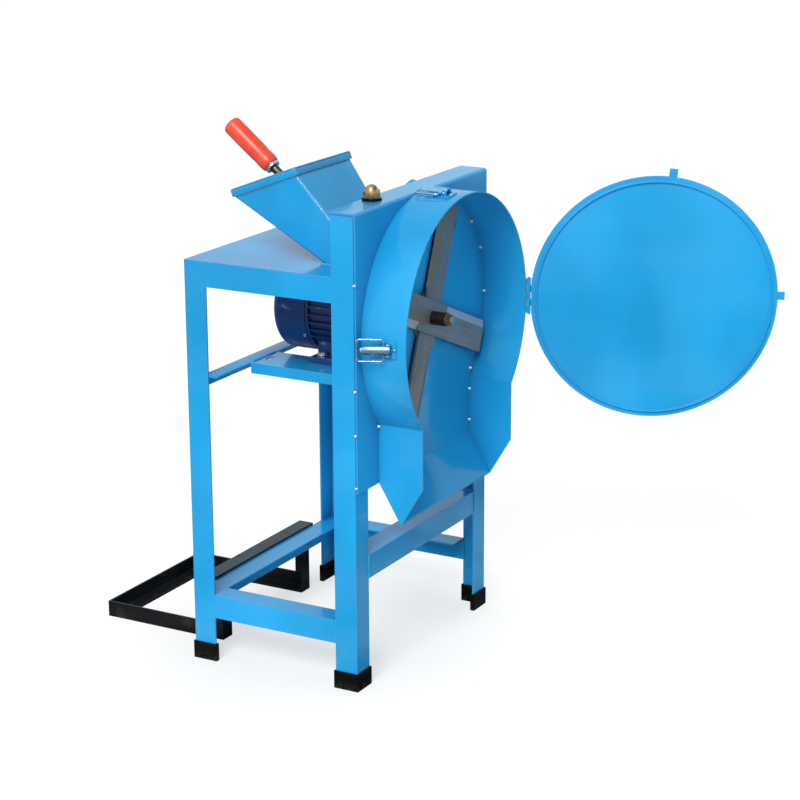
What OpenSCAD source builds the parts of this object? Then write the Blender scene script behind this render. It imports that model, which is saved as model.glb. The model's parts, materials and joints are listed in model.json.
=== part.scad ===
// Grass shredder: a cutter drum on the front panel of an angle-iron stand, with its motor behind the panel.
// In the machine's own frame x runs to the right, y to the rear from the panel's front face, z up from the floor.

/* [Stand] */
// Width of the stand over its legs
frame_w = 450; // [430:5:500]
// Depth of the stand from the panel's front face to the back of the rear legs
frame_d = 316; // [312:2:350]
// Height of the table's top face
table_z = 685; // [680:1:700]
// Flange width of the angle iron
angle_w = 40; // [34:1:42]
// Wall of the angle iron
angle_t = 3; // [2.5:0.1:4]
// Sheet of the table
table_t = 2; // [1.5:0.1:3]
// Height of the bottom side and rear rails' top face
low_rail_z = 117; // [90:1:160]
// Height of the bottom front rail's top face
front_rail_z = 222.5; // [170:0.5:250]

/* [Feet and stand bracket] */
// Height of a rubber boot
boot_h = 30; // [20:1:45]
// Wall of a boot
boot_wall = 2.5; // [2:0.1:4]
// Rubber under a leg
boot_floor = 4; // [2:0.5:8]
// Flange width of the stand bracket's angle iron
bracket_w = 28; // [24:1:34]
// Wall of the stand bracket's angle iron
bracket_t = 3; // [2.5:0.1:4]
// Width of the stand bracket over its arms
bracket_span = 285; // [250:1:300]
// Length of the bracket's upper bar
bracket_bar = 315; // [305:1:330]
// Height of the bracket's upper bar above the rear rail
bracket_over = 4; // [0:1:50]
// Reach of the bracket behind the rear legs
bracket_reach = 241; // [180:1:300]

/* [Front panel] */
// Distance from the stand's side to the panel's edge
panel_in = 3; // [0:0.5:8]
// Sheet of the panel
panel_t = 2.5; // [2:0.1:3]
// Height of the panel's top face
panel_top_z = 787; // [775:1:800]
// Height of the panel's lower edge
panel_bottom_z = 336; // [325:1:345]
// Depth of the flange folded back along the panel's top
flange_d = 50; // [44:1:60]
// Outer radius of the panel's fold
fold_r = 5; // [4:0.5:7]

/* [Drum] */
// Outer radius of the drum
drum_r = 212; // [208:1:216]
// Sheet of the drum
drum_t = 2.5; // [2:0.1:3]
// Depth of the drum
drum_depth = 79; // [76:1:90]
// Sideways place of the shaft from the stand's middle
drum_x = 5.5; // [0:0.5:8]
// Height of the shaft
drum_z = 575.6; // [570:0.2:580]
// Half the width of the chute
chute_half = 158; // [152:1:165]
// Height of the chute plates' square corners
chute_corner_z = 335; // [325:1:345]
// Height of the chute's lowest point
chute_tip_z = 269; // [255:1:285]
// Sheet of the deflector
deflector_t = 2; // [1.5:0.1:3]

/* [Lid] */
// Radius of the lid
lid_r = 209; // [206:0.5:212]
// Sheet of the lid
lid_t = 2.5; // [2:0.1:3]
// Sideways offset of the lid from the drum when closed
lid_dx = 2; // [0:0.5:3]
// Drop of the lid's middle below the drum's
lid_drop = 3; // [0:0.5:4]
// Angle at which the lid stands open
lid_open = 117.7; // [60:0.1:150]
// Outer radius of the lid's locating ring
lid_ring_r = 200; // [185:1:202]
// Height of the locating ring
lid_ring_h = 12; // [6:1:20]
// Gap between the closed lid and the drum's edge
lid_gap = 0.3; // [0.3:0.1:1]

/* [Lid hinge] */
// Height of the hinge
hinge_h = 60; // [50:1:70]
// Radius of a knuckle
knuckle_r = 3; // [2.8:0.1:3.4]
// Radius of the hinge pin
hinge_pin_r = 1.5; // [1.2:0.1:1.8]
// Sheet of the hinge leaves
leaf_t = 2; // [1.5:0.1:2.2]
// Reach of a leaf from the hinge
leaf_reach = 29; // [20:1:40]

/* [Latches] */
// Angle of the left latch round the drum
latch_left_a = 180; // [170:1:190]
// Angle of the top latch round the drum
latch_top_a = 97; // [85:1:105]
// Width of a latch's base
latch_w = 28; // [28:0.5:30]
// Width of a latch's lever
lever_w = 14; // [12:0.2:23.6]
// Sheet of the latch's pieces
latch_t = 1.6; // [1.2:0.1:2]
// Angle at which the left latch's lever stands off the drum
latch_swing = 25; // [0:1:60]
// Height of the latch pins above the drum
latch_lift = 6; // [5.8:0.1:7]
// Distance of the lever's pin from the panel
lever_pin_y = 51; // [50:0.5:53]
// Distance of the bail's pin from the lever's pin
bail_offset = 7; // [6:0.5:8]
// Length of the bail
bail_l = 41.5; // [40:0.5:42]
// Width of the bail between its wires' middles
bail_w = 35; // [34:1:44]
// Radius of the bail's wire
wire_r = 1.5; // [1.2:0.1:1.6]
// Reach of a catch tab beyond the drum's outer face
tab_out = 7; // [5:0.5:8]
// Width of a catch tab
tab_w = 14; // [10:1:20]
// Sheet of a catch tab
tab_t = 1.5; // [1:0.1:1.6]

/* [Cutter] */
// Half the length of a blade
blade_l = 190; // [150:1:194]
// Width of a blade
blade_w = 55; // [40:1:60]
// Thickness of a blade
blade_t = 4.5; // [4:0.1:6]
// Width of a blade's bevel
bevel_w = 13; // [8:1:18]
// Angle of the front blade
blade_a = -22; // [-45:1:45]
// Radius of the hub's flange
hub_r = 45; // [35:1:60]
// Length of the clamp collar
collar_l = 26; // [15:1:28]
// Radius of the clamp collar
collar_r = 11.5; // [11:0.5:22]
// Width of the shaft nut over its flats
nut_af = 16; // [15:0.5:24]

/* [Motor] */
// Height of the shaft above the motor's feet
shaft_h = 80; // [79.5:0.1:84]
// Radius of the motor's output shaft
shaft_r = 9.5; // [8:0.5:9.8]
// Radius of the motor's body
body_r = 72; // [71.5:0.1:73]
// Radius over the cooling fins
fin_r = 78; // [76:0.5:79]
// Number of places for fins round the body
fin_places = 36; // [24:4:40]
// Half the distance between the foot bolts across the shaft
foot_half = 62.5; // [60:0.5:64]
// Distance between the foot bolts along the shaft
foot_pitch = 100; // [90:1:110]
// Distance from the panel to the front foot bolts
foot_y = 61; // [58:1:64]
// Radius of the fan cowl
cowl_r = 77; // [76:0.1:78.5]
// Distance from the panel to the cowl's back
cowl_y = 250; // [246:0.5:254]
// Radius of a motor bolt
bolt_r = 4; // [3:0.5:5]
// Radius of the gland's cable hole
gland_r = 4.5; // [3.5:0.1:6]

/* [Motor rails] */
// Sheet of the motor rails
rail_t = 3; // [2:0.1:4]
// Distance from the shaft to a motor rail's inner edge
rail_in = 48; // [46:1:52]
// Distance from the shaft to a motor rail's outer edge
rail_out = 127.5; // [100:0.5:140]
// Depth of the lip folded down from a motor rail
rail_lip = 18; // [12:1:24]
// Depth of the cross rail, front to back
cross_d = 29; // [25:1:32]
// Height of the cross rail
cross_h = 20; // [16:1:30]
// Distance from the back of the stand to the cross rail's front
cross_in = 56; // [52:1:60]

/* [Feed hopper] */
// Left side of the hopper
hopper_x0 = -150; // [-152:1:-140]
// Width of the hopper's mouth
mouth_w = 170; // [160:1:200]
// Length of the mouth's slope
mouth_l = 126; // [110:1:135]
// Tilt of the mouth
mouth_tilt = 20.9; // [15:0.1:25]
// Distance from the panel's front face to the mouth's rear rim
rim_y = 270; // [262:1:280]
// Height of the mouth's rear rim
rim_z = 789; // [784:1:800]
// Height of the lip round the mouth
lip_h = 12; // [8:1:16]
// Width of the throat at the panel
throat_w = 110; // [90:1:115]
// Height of the throat at the panel
throat_h = 36; // [28:1:38]
// Height of the throat's lower edge
throat_z = 632; // [630:1:640]
// Sheet of the hopper
hopper_t = 2; // [1.5:0.1:2.5]
// Radius of the hopper's folds
hopper_fold = 5; // [4:0.5:8]

/* [Small inlet] */
// Outer radius of the small inlet
inlet_r = 27; // [22:0.5:28]
// Sheet of the small inlet
inlet_t = 2; // [1.5:0.1:3]
// Length of the small inlet
inlet_l = 88; // [60:1:95]
// Rise of the small inlet towards the rear
inlet_rise = 25; // [20:1:30]
// Sideways place of the small inlet
inlet_x = 88; // [70:1:110]
// Height of the small inlet's middle at the panel
inlet_z = 722; // [720:1:730]

/* [Pusher] */
// Length of the grip
grip_l = 102; // [90:1:120]
// Radius of the grip
grip_r = 16; // [11:0.5:18]
// Length of the ferrule
ferrule_l = 5; // [3:0.5:15]
// Radius of the rod
rod_r = 7; // [4:0.5:9]
// Length of the rod outside the grip
rod_l = 139; // [120:1:142]
// Slope of the pusher
pusher_slope = 39; // [36:0.5:41]
// Sideways place of the pusher
pusher_x = -68; // [-75:1:-62]
// Distance from the panel to the grip's upper end
grip_y = 324; // [318:1:330]
// Height of the grip's upper end
grip_z = 881; // [876:1:886]
// Width of the pusher's head
head_w = 70; // [40:1:76]
// Length of the pusher's head
head_l = 32; // [24:1:40]
// Height of the pusher's head
head_h = 30; // [24:1:36]

/* [Fits] */
// Gap between pieces that lie close but don't touch
gap = 0.3; // [0.2:0.05:0.5]
// Clearance of a pin or shaft in its hole, on the radius
run = 0.05; // [0.02:0.01:0.1]
// Clearance of a pressed seat, on the radius
seat = 0.02; // [0.01:0.01:0.03]

/* [Hidden] */
$fn = 96;
// Overshoot of a cut past the face that it opens
e = 1;
half_w = frame_w / 2;
panel_w = frame_w - 2 * panel_in;
front_y = panel_t + angle_w;
table_under = table_z - table_t;
bracket_y1 = frame_d + bracket_reach;
bracket_h = low_rail_z + bracket_over;
cross_y = frame_d - cross_in;
rail_slot_l = 16;
rail_slot_r = 3.5;
rail_slot_in = 12;

// Chute and drum
drum_in = drum_r - drum_t;
// Height, from the shaft, at which the drum's inner face meets the chute plates
chute_top = -sqrt(pow(drum_in, 2) - pow(chute_half, 2));
chute_tip_y = -drum_depth / 2;
// Upright height of the sloping deflector's sheet
deflector_rise = deflector_t * norm([chute_tip_y, chute_corner_z - chute_tip_z]) / -chute_tip_y;

// Lid and hinge, with the lid closed
lid_x = drum_x + lid_dx;
lid_z = drum_z - lid_drop;
lid_in_y = -drum_depth - lid_gap;
lid_out_y = lid_in_y - lid_t;
hinge_out = 1.5;
hinge_fore = 1;
hinge_x = drum_x + drum_r + hinge_out;
hinge_y = -drum_depth - knuckle_r - hinge_fore;
knuckles = 5;
knuckle_pitch = hinge_h / knuckles;
// Edge of the notch in the lid that clears the knuckles
notch_clear = 1.1;
notch_x = hinge_x - knuckle_r - notch_clear;
leaf_gap = 0.1;
pin_head_t = 2;
pin_head_in = 0.4;
pin_head_r = knuckle_r - pin_head_in;

// Catch tabs
tab_r = drum_r + tab_out;
tab_y = lid_out_y - tab_t;
tab_root = 24;
tab_tip = [drum_x - tab_r, tab_y + tab_t];

// Latches
saddle_t = 2;
saddle_l = 28;
saddle_back = 16;
saddle_y1 = -lever_pin_y + saddle_back;
latch_pin_r = 2;
ear_gap = 0.6;
ear_r = 5;
ear_z = lever_w / 2 + ear_gap;
pin_x = drum_r + latch_lift;
bail_y = -lever_pin_y + bail_offset;
bail_grip = 0.5;
lever_nose_gap = 2.3;
lever_nose_r = latch_lift - lever_nose_gap;
lever_in = 2.8;
lever_over = 4;
lever_top = pin_x + lever_over;
lever_side_y = -20;
lever_end = -12;
thumb_y = [-5, 4];
thumb_rise = 4;

// Place of the open lid's far tab, which sets the part's box, and the middle of that box
function swing(p, a) = [hinge_x, hinge_y]
    + [cos(a) * (p.x - hinge_x) - sin(a) * (p.y - hinge_y), sin(a) * (p.x - hinge_x) + cos(a) * (p.y - hinge_y)];
far_x = swing([drum_x - tab_r, tab_y], lid_open).x;
far_y = swing(tab_tip, lid_open).y;
mid_x = (far_x - half_w - boot_wall) / 2;
mid_y = (far_y + bracket_y1) / 2;

// Stack on the shaft, as distances in front of the panel
hub_gap = 1;
hub_t = 3;
rear_blade_y = -hub_gap - hub_t;
front_blade_y = rear_blade_y - blade_t;
collar_y = front_blade_y - blade_t;
nut_y = collar_y - collar_l;
nut_l = 11;
stub_r = 6;
stub_over = 1;
hub_boss_r = 17;
hub_boss_l = 9;
panel_hole_r = 24;

// Motor, along y
motor_y = 11;
boss_l = 3;
boss_r = 32;
shield_r = 70;
shield_y1 = 38;
frame_y1 = 180;
stator_y = [70, 150];
winding_l = 19;
winding_in = 4;
stator_in = 38;
stator_out = 66;
air_gap = 0.5;
core_r = 12.5;
bearing_r = 23.5;
bearing_bore = 10;
bearing_l = 14;
bearing_front_y = 20;
bearing_rear_y = 184;
rear_shield_y1 = 202;
shaft_gap = 0.6;
shield_wall = 4;
shield_rim = 8;
shield_lip = 5;
spigot_l = 8;
bearing_wall = 7;
fin_t = 2.6;
fin_root = 1;
shoulder = 6;
race_t = 3;
race_step = 1;
cowl_y0 = 186.5;
cowl_t = 1.5;
cowl_round = 12;
grille_r = [16, 61];
grille_pitch = 9;
grille_slot = 5;
grille_spoke = 7;
fan_y = [208, 238];
fan_r = 66;
fan_shaft_r = 8;
fan_blades = 9;
fan_hub_r = 14;
fan_disc_in = 12;
fan_sheet = 3;
foot_t = 10;
foot_l = 126;
foot_w = 38;
web_in = 15;
web_w = 12;
web_h = 22;
foot_z = drum_z - shaft_h;
bolt_hole_r = bolt_r + 0.5;
bolt_af = 2 * bolt_r + 5;
bolt_head = 5.5;
bolt_over = 3;
nut_h = 6.5;
box_x = [62, 118];
box_y = [75, 165];
box_h = 76;
box_wall = 3;
box_saddle = 4;
gland_x = drum_x + (fin_r + box_x[1]) / 2;
gland_af = 20;
gland_hex_l = 8;
gland_cap_l = 17;
gland_cap_r = 9;
gland_nose_r = 6.5;
gland_nose_l = 6;
// Fins leave room for the feet's webs
function in_foot(a) = a > 215 && a < 325 && !(a > 255 && a < 285);

// Hopper
function mouth_pt(s, h) = [
    rim_y - s * cos(mouth_tilt) - h * sin(mouth_tilt),
    rim_z + s * sin(mouth_tilt) - h * cos(mouth_tilt)
];
// Middles of the fold radii at the throat and the mouth, each as [x, y, z]
function throat_pts() = [
    for (x = [hopper_x0 + hopper_fold, hopper_x0 + throat_w - hopper_fold])
        for (z = [throat_z + hopper_fold, throat_z + throat_h - hopper_fold]) [x, panel_t, z]
];
function mouth_pts() = [
    for (x = [hopper_x0 + hopper_fold, hopper_x0 + mouth_w - hopper_fold])
        for (s = [hopper_fold, mouth_l - hopper_fold]) [x, mouth_pt(s, lip_h).x, mouth_pt(s, lip_h).y]
];
function between(a, b, k) = a + k * (b - a);
// Height, just inside the lip, of a plane along its foot at a distance from the panel
function lip_line(y) = mouth_pt(0, lip_h - e).y + (mouth_pt(0, lip_h - e).x - y) * tan(mouth_tilt);
// Slope of the hopper's floor, and the floor's inner height at a distance from the panel
floor_lo = throat_pts()[0];
floor_hi = mouth_pts()[0];
floor_a = atan2(floor_hi.z - floor_lo.z, floor_hi.y - floor_lo.y);
function floor_at(y) = floor_lo.z + (y - floor_lo.y) * tan(floor_a) - (hopper_fold - hopper_t) / cos(floor_a);
// Notch of the table that the hopper stands in: its rear edge and its right edge
notch_gap = 1.5;
notch_back = 5;
notch_y1 = floor_lo.y + (table_z - floor_lo.z + hopper_fold / cos(floor_a)) / tan(floor_a) + notch_back;
notch_share = (notch_y1 - panel_t) / (floor_hi.y - panel_t);
notch_x1 = between(throat_pts()[2].x, mouth_pts()[2].x, notch_share) + hopper_fold + notch_gap;

// Pusher
pusher_dir = [0, -cos(pusher_slope), -sin(pusher_slope)];
grip_top = [pusher_x, grip_y, grip_z];
rod_in_grip = 40;
rod_end = grip_top + (grip_l + rod_l) * pusher_dir;
head_y = rod_end.y;

// Round nut and washer on the flange
dome_at = [-112, 33];
washer_r = 16;
washer_t = 3;
washer_bore = 7;
dome_af = 27;
dome_hex_h = 13;
dome_r = 9.5;
dome_h = 13;

// Edge left under a blade's bevel, and the angle between the blades
bevel_edge = 0.8;
blade_turn = 90;

// Grip's rounding, the ferrule's step in from it, and the duct's run past its end faces
grip_round = 3;
ferrule_in = 3;
duct_over = 0.1;

paint = "#2fa4e2";
navy = "#183a78";
steel = "#6f747a";
bright = "#b9bec2";
black = "#17191b";
brass = "#c8963c";

// Moves the machine so that the middle of its box on the floor is the origin
module placed() translate([-mid_x, -mid_y, 0]) children();

// Mirrors its children left for right
module other_side() mirror([1, 0, 0]) children();

// Extrudes an outline drawn in y and z from x0 to x1
module across(x0, x1) translate([x0, 0, 0]) rotate([90, 0, 90]) linear_extrude(x1 - x0) children();

// Extrudes an outline drawn in x and z, about the shaft's line, from y0 to y1
module on_shaft(y0, y1) translate([drum_x, y1, drum_z]) rotate([90, 0, 0]) linear_extrude(y1 - y0) children();

// Extrudes an outline drawn in x and z from y0 to y1
module front_to_back(y0, y1) translate([0, y1, 0]) rotate([90, 0, 0]) linear_extrude(y1 - y0) children();

// Turns its children about the shaft's line: x is outward, y to the rear
module round_drum(a) translate([drum_x, 0, drum_z]) rotate([0, -a, 0]) children();

// Swings its children about the hinge from the closed lid's place
module opened() translate([hinge_x, hinge_y, 0]) rotate([0, 0, lid_open]) translate([-hinge_x, -hinge_y, 0]) children();

// Places its children along the pusher, z running down its rod
module along_pusher(s) translate(grip_top + s * pusher_dir) rotate([90 + pusher_slope, 0, 0]) children();

module ring(outer, inner) difference() {
    circle(outer);
    circle(inner);
}

// Outline of an angle iron with its corner at the origin
module angle_outline(w, t) difference() {
    square([w, w]);
    translate([t, t]) square([w, w]);
}

// Hexagon across its flats
module hexagon(af) circle(r = af / sqrt(3), $fn = 6);

// Legs
module front_leg() translate([-half_w, panel_t, boot_floor])
    linear_extrude(panel_top_z - fold_r - boot_floor) angle_outline(angle_w, angle_t);

// The rear leg's top is mitred to the rails on both of its faces
module rear_leg() difference() {
    translate([-half_w, frame_d, boot_floor]) mirror([0, 1, 0])
        linear_extrude(table_under - boot_floor) angle_outline(angle_w, angle_t);
    across(-half_w - e, -half_w + angle_t) polygon([
        [frame_d + e, table_under + e],
        [frame_d - angle_w - e, table_under - angle_w - e],
        [frame_d - angle_w - e, table_under + e]
    ]);
    front_to_back(frame_d - angle_t, frame_d + e) polygon([
        [-half_w - e, table_under + e],
        [-half_w + angle_w + e, table_under - angle_w - e],
        [-half_w + angle_w + e, table_under + e]
    ]);
}

module leg_front_left() placed() color(paint) front_leg();
module leg_front_right() placed() color(paint) other_side() front_leg();
module leg_rear_left() placed() color(paint) rear_leg();
module leg_rear_right() placed() color(paint) other_side() rear_leg();

// Rails under the table
module side_top_rail() {
    across(-half_w, -half_w + angle_t) polygon([
        [front_y, table_under - angle_w],
        [frame_d - angle_w, table_under - angle_w],
        [frame_d - angle_t, table_under - angle_t],
        [frame_d - angle_t, table_under],
        [front_y, table_under]
    ]);
    translate([-half_w, front_y, table_under - angle_t]) cube([angle_w, frame_d - angle_t - front_y, angle_t]);
}

module top_rail_left() placed() color(paint) side_top_rail();
module top_rail_right() placed() color(paint) other_side() side_top_rail();
module top_rail_rear() placed() color(paint) {
    front_to_back(frame_d - angle_t, frame_d) polygon([
        [-half_w, table_under],
        [-half_w + angle_w, table_under - angle_w],
        [half_w - angle_w, table_under - angle_w],
        [half_w, table_under]
    ]);
    translate([-half_w + angle_w, frame_d - angle_w, table_under - angle_t])
        cube([frame_w - 2 * angle_w, angle_w, angle_t]);
}

// Rails between the legs near the floor, each with a flange on top that faces inward
module side_low_rail() across(-half_w, -half_w + angle_t)
    translate([front_y, low_rail_z - angle_w]) square([frame_d - angle_w - front_y, angle_w]);

module side_low_flange() translate([-half_w, front_y, low_rail_z - angle_t])
    cube([angle_w, frame_d - angle_w - front_y, angle_t]);

module bottom_rail_left() placed() color(paint) {
    side_low_rail();
    side_low_flange();
}

module bottom_rail_right() placed() color(paint) other_side() {
    side_low_rail();
    side_low_flange();
}

module bottom_rail_rear() placed() color(paint) difference() {
    union() {
        translate([-half_w + angle_w, frame_d - angle_t, low_rail_z - angle_w])
            cube([frame_w - 2 * angle_w, angle_t, angle_w]);
        translate([-half_w + angle_t, frame_d - angle_w, low_rail_z - angle_t])
            cube([frame_w - 2 * angle_t, angle_w - angle_t, angle_t]);
    }
    bracket_holes();
}

module bottom_rail_front() placed() color(paint) {
    translate([-half_w + angle_w, panel_t, front_rail_z - angle_w])
        cube([frame_w - 2 * angle_w, angle_t, angle_w]);
    translate([-half_w + angle_t, panel_t + angle_t, front_rail_z - angle_t])
        cube([frame_w - 2 * angle_t, angle_w - angle_t, angle_t]);
}

// Rails that carry the motor
module cross_rail() placed() color(paint) difference() {
    translate([-half_w + angle_t, cross_y, foot_z - cross_h]) cube([frame_w - 2 * angle_t, cross_d, cross_h]);
    translate([-half_w, cross_y + angle_t, foot_z - cross_h + angle_t])
        cube([frame_w, cross_d - 2 * angle_t, cross_h - 2 * angle_t]);
}

// Centres its children on the foot bolts' holes
module at_foot_bolts() for (side = [-1, 1]) for (y = [foot_y, foot_y + foot_pitch])
    translate([drum_x + side * foot_half, y, foot_z]) children();

module motor_rail(side) difference() {
    front_to_back(panel_t, cross_y) translate([drum_x, foot_z]) {
        translate([side > 0 ? rail_in : -rail_out, -rail_t]) square([rail_out - rail_in, rail_t]);
        translate([side > 0 ? rail_out - rail_t : -rail_out, -rail_lip]) square([rail_t, rail_lip]);
    }
    at_foot_bolts() translate([0, 0, -rail_t - e]) cylinder(r = bolt_hole_r, h = rail_t + 2 * e);
    // Slot near the cross rail
    for (x = [-rail_slot_l / 2, rail_slot_l / 2])
        translate([drum_x + side * (rail_in + rail_out) / 2 + x, cross_y - rail_slot_in, foot_z - rail_t - e])
            cylinder(r = rail_slot_r, h = rail_t + 2 * e);
    translate([drum_x + side * (rail_in + rail_out) / 2, cross_y - rail_slot_in, foot_z - rail_t / 2])
        cube([rail_slot_l, 2 * rail_slot_r, rail_t + 2 * e], center = true);
}

module motor_rail_left() placed() color(paint) motor_rail(-1);
module motor_rail_right() placed() color(paint) motor_rail(1);

// A boot is an angle pocket round the end of a leg
module boot() difference() {
    translate([-boot_wall, -boot_wall]) linear_extrude(boot_h) angle_outline(angle_w + 2 * boot_wall, angle_t + 2 * boot_wall);
    translate([-gap, -gap, boot_floor]) linear_extrude(boot_h) angle_outline(angle_w + 2 * gap, angle_t + 2 * gap);
}

module rubber_feet() placed() color(black) {
    translate([-half_w, panel_t, 0]) boot();
    translate([half_w, panel_t, 0]) mirror([1, 0, 0]) boot();
    translate([-half_w, frame_d, 0]) mirror([0, 1, 0]) boot();
    translate([half_w, frame_d, 0]) mirror([1, 0, 0]) mirror([0, 1, 0]) boot();
}

// Centres its children on the holes of the bracket's bolts
module at_bracket_bolts() for (side = [-1, 1])
    translate([side * (bracket_span - bracket_w) / 2, frame_d, low_rail_z - angle_w / 2]) children();

module bracket_holes() at_bracket_bolts() rotate([90, 0, 0]) cylinder(r = bolt_hole_r, h = 2 * angle_w, center = true);

// Stand bracket: two posts on the rear rail, two arms on the floor, a bar above and a bar behind
module bracket_frame() placed() color(black) difference() {
    union() {
        for (side = [-1, 1]) mirrored_if(side > 0) {
            translate([-bracket_span / 2, frame_d, 0]) linear_extrude(bracket_h) angle_outline(bracket_w, bracket_t);
            across(-bracket_span / 2, -bracket_span / 2 + bracket_t)
                translate([frame_d, 0]) square([bracket_reach, bracket_w]);
            translate([-bracket_span / 2, frame_d, 0]) cube([bracket_w, bracket_reach, bracket_t]);
        }
        translate([-bracket_span / 2, bracket_y1 - bracket_w, 0]) cube([bracket_span, bracket_w, bracket_t]);
        translate([-bracket_span / 2, bracket_y1 - bracket_t, 0]) cube([bracket_span, bracket_t, bracket_w]);
        translate([-bracket_bar / 2, frame_d, bracket_h - bracket_w]) cube([bracket_bar, bracket_t, bracket_w]);
        translate([-bracket_bar / 2, frame_d, bracket_h - bracket_t]) cube([bracket_bar, bracket_w, bracket_t]);
    }
    bracket_holes();
}

module mirrored_if(on) {
    if (on) mirror([1, 0, 0]) children();
    else children();
}

// Front panel with its top flange
module panel_outline() {
    translate([0, panel_bottom_z]) square([panel_t, panel_top_z - fold_r - panel_bottom_z]);
    translate([fold_r, panel_top_z - panel_t]) square([flange_d - fold_r, panel_t]);
    intersection() {
        translate([fold_r, panel_top_z - fold_r]) ring(fold_r, fold_r - panel_t);
        translate([0, panel_top_z - fold_r]) square([fold_r, fold_r]);
    }
}

module inlet_bore(r) translate([inlet_x, panel_t, inlet_z]) rotate([inlet_rise - 90, 0, 0])
    translate([0, 0, -inlet_r]) cylinder(r = r, h = inlet_l + inlet_r + e);

module front_panel() placed() color(paint) difference() {
    across(-panel_w / 2, panel_w / 2) panel_outline();
    on_shaft(-e, panel_t + e) circle(panel_hole_r);
    translate([hopper_x0 + hopper_t, -e, throat_z + hopper_t])
        cube([throat_w - 2 * hopper_t, panel_t + 2 * e, throat_h - 2 * hopper_t]);
    inlet_bore(inlet_r - inlet_t);
}

module table_top() placed() color(paint) difference() {
    translate([-half_w, panel_t, table_under]) cube([frame_w, frame_d - panel_t, table_t]);
    for (side = [-1, 1]) mirrored_if(side > 0)
        translate([-half_w - e, panel_t - e, table_under - e])
            cube([angle_w + gap + e, angle_w + gap + e, table_t + 2 * e]);
    translate([hopper_x0 - notch_gap, panel_t - e, table_under - e])
        cube([notch_x1 - hopper_x0 + notch_gap, notch_y1 - panel_t + e, table_t + 2 * e]);
}

// Feed hopper: a tapering duct from the throat to a lip round the tilted mouth
module duct(r) hull() for (i = [0:3]) {
    translate(between(throat_pts()[i], mouth_pts()[i], -duct_over)) sphere(r, $fn = 24);
    translate(between(throat_pts()[i], mouth_pts()[i], 1 + duct_over)) sphere(r, $fn = 24);
}

// Space between the panel and the foot of the mouth's lip
module duct_span() across(hopper_x0 - mouth_w, hopper_x0 + 2 * mouth_w) polygon([
    [panel_t, throat_z - mouth_w],
    [rim_y + mouth_w, throat_z - mouth_w],
    [rim_y + mouth_w, lip_line(rim_y + mouth_w)],
    [panel_t, lip_line(panel_t)]
]);

module mouth_lip() translate([0, rim_y, rim_z]) rotate([-mouth_tilt, 0, 0]) difference() {
    translate([hopper_x0 - hopper_t, -mouth_l - hopper_t, -lip_h])
        cube([mouth_w + 2 * hopper_t, mouth_l + 2 * hopper_t, lip_h]);
    translate([hopper_x0 + hopper_t, -mouth_l + hopper_t, -lip_h - e])
        cube([mouth_w - 2 * hopper_t, mouth_l - 2 * hopper_t, lip_h + 2 * e]);
}

module feed_hopper() placed() color(paint) union() {
    intersection() {
        difference() {
            duct(hopper_fold);
            duct(hopper_fold - hopper_t);
        }
        duct_span();
    }
    mouth_lip();
}

module small_inlet() placed() color(paint) difference() {
    translate([inlet_x, panel_t, inlet_z]) rotate([inlet_rise - 90, 0, 0])
        translate([0, 0, -inlet_r]) cylinder(r = inlet_r, h = inlet_l + inlet_r);
    inlet_bore(inlet_r - inlet_t);
    translate([inlet_x - 2 * inlet_r, panel_t - 4 * inlet_r, inlet_z - 3 * inlet_r])
        cube([4 * inlet_r, 4 * inlet_r, 6 * inlet_r]);
}

module flange_washer() placed() color(black) translate([dome_at.x, dome_at.y, panel_top_z]) difference() {
    cylinder(r = washer_r, h = washer_t);
    translate([0, 0, -e]) cylinder(r = washer_bore, h = washer_t + 2 * e);
}

module flange_nut() placed() color(brass) translate([dome_at.x, dome_at.y, panel_top_z + washer_t]) {
    linear_extrude(dome_hex_h) hexagon(dome_af);
    cylinder(r = dome_r, h = dome_h);
    translate([0, 0, dome_h]) sphere(r = dome_r);
}

// Drum and chute
module drum_ring() placed() color(paint) on_shaft(-drum_depth, 0) difference() {
    ring(drum_r, drum_in);
    translate([-chute_half, -drum_r - e]) square([2 * chute_half, drum_r + e + chute_top]);
}

module chute_plate(x0) across(x0, x0 + drum_t) polygon([
    [0, drum_z + chute_top],
    [-drum_depth, drum_z + chute_top],
    [-drum_depth, chute_corner_z],
    [chute_tip_y, chute_tip_z],
    [0, chute_corner_z]
]);

module chute_left() placed() color(paint) chute_plate(drum_x - chute_half);
module chute_right() placed() color(paint) chute_plate(drum_x + chute_half - drum_t);
module chute_deflector() placed() color(paint)
    across(drum_x - chute_half + drum_t, drum_x + chute_half - drum_t) polygon([
        [0, chute_corner_z],
        [chute_tip_y, chute_tip_z],
        [chute_tip_y, chute_tip_z + deflector_rise],
        [0, chute_corner_z + deflector_rise]
    ]);

// Lid
module lid() placed() color(paint) opened() {
    difference() {
        translate([lid_x, lid_in_y, lid_z]) rotate([90, 0, 0]) cylinder(r = lid_r, h = lid_t, $fn = 160);
        translate([notch_x, lid_out_y - e, drum_z - hinge_h / 2 - e]) cube([2 * knuckle_r, lid_t + 2 * e, hinge_h + 2 * e]);
    }
    translate([lid_x, lid_in_y + lid_ring_h, lid_z]) rotate([90, 0, 0]) linear_extrude(lid_ring_h)
        ring(lid_ring_r, lid_ring_r - drum_t);
}

module lid_catches() placed() color(paint) opened() for (a = [latch_left_a, latch_top_a])
    round_drum(a) translate([tab_r - tab_out - tab_root, tab_y, -tab_w / 2]) cube([tab_out + tab_root, tab_t, tab_w]);

// Knuckles of the hinge, the even ones on the drum and the odd ones on the lid
module knuckle_spans(first) for (k = [first:2:knuckles - 1])
    translate([0, 0, drum_z - hinge_h / 2 + k * knuckle_pitch + gap / 2]) linear_extrude(knuckle_pitch - gap) children();

module pin_bore() translate([hinge_x, hinge_y, drum_z - hinge_h]) cylinder(r = hinge_pin_r + run, h = 2 * hinge_h);

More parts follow.
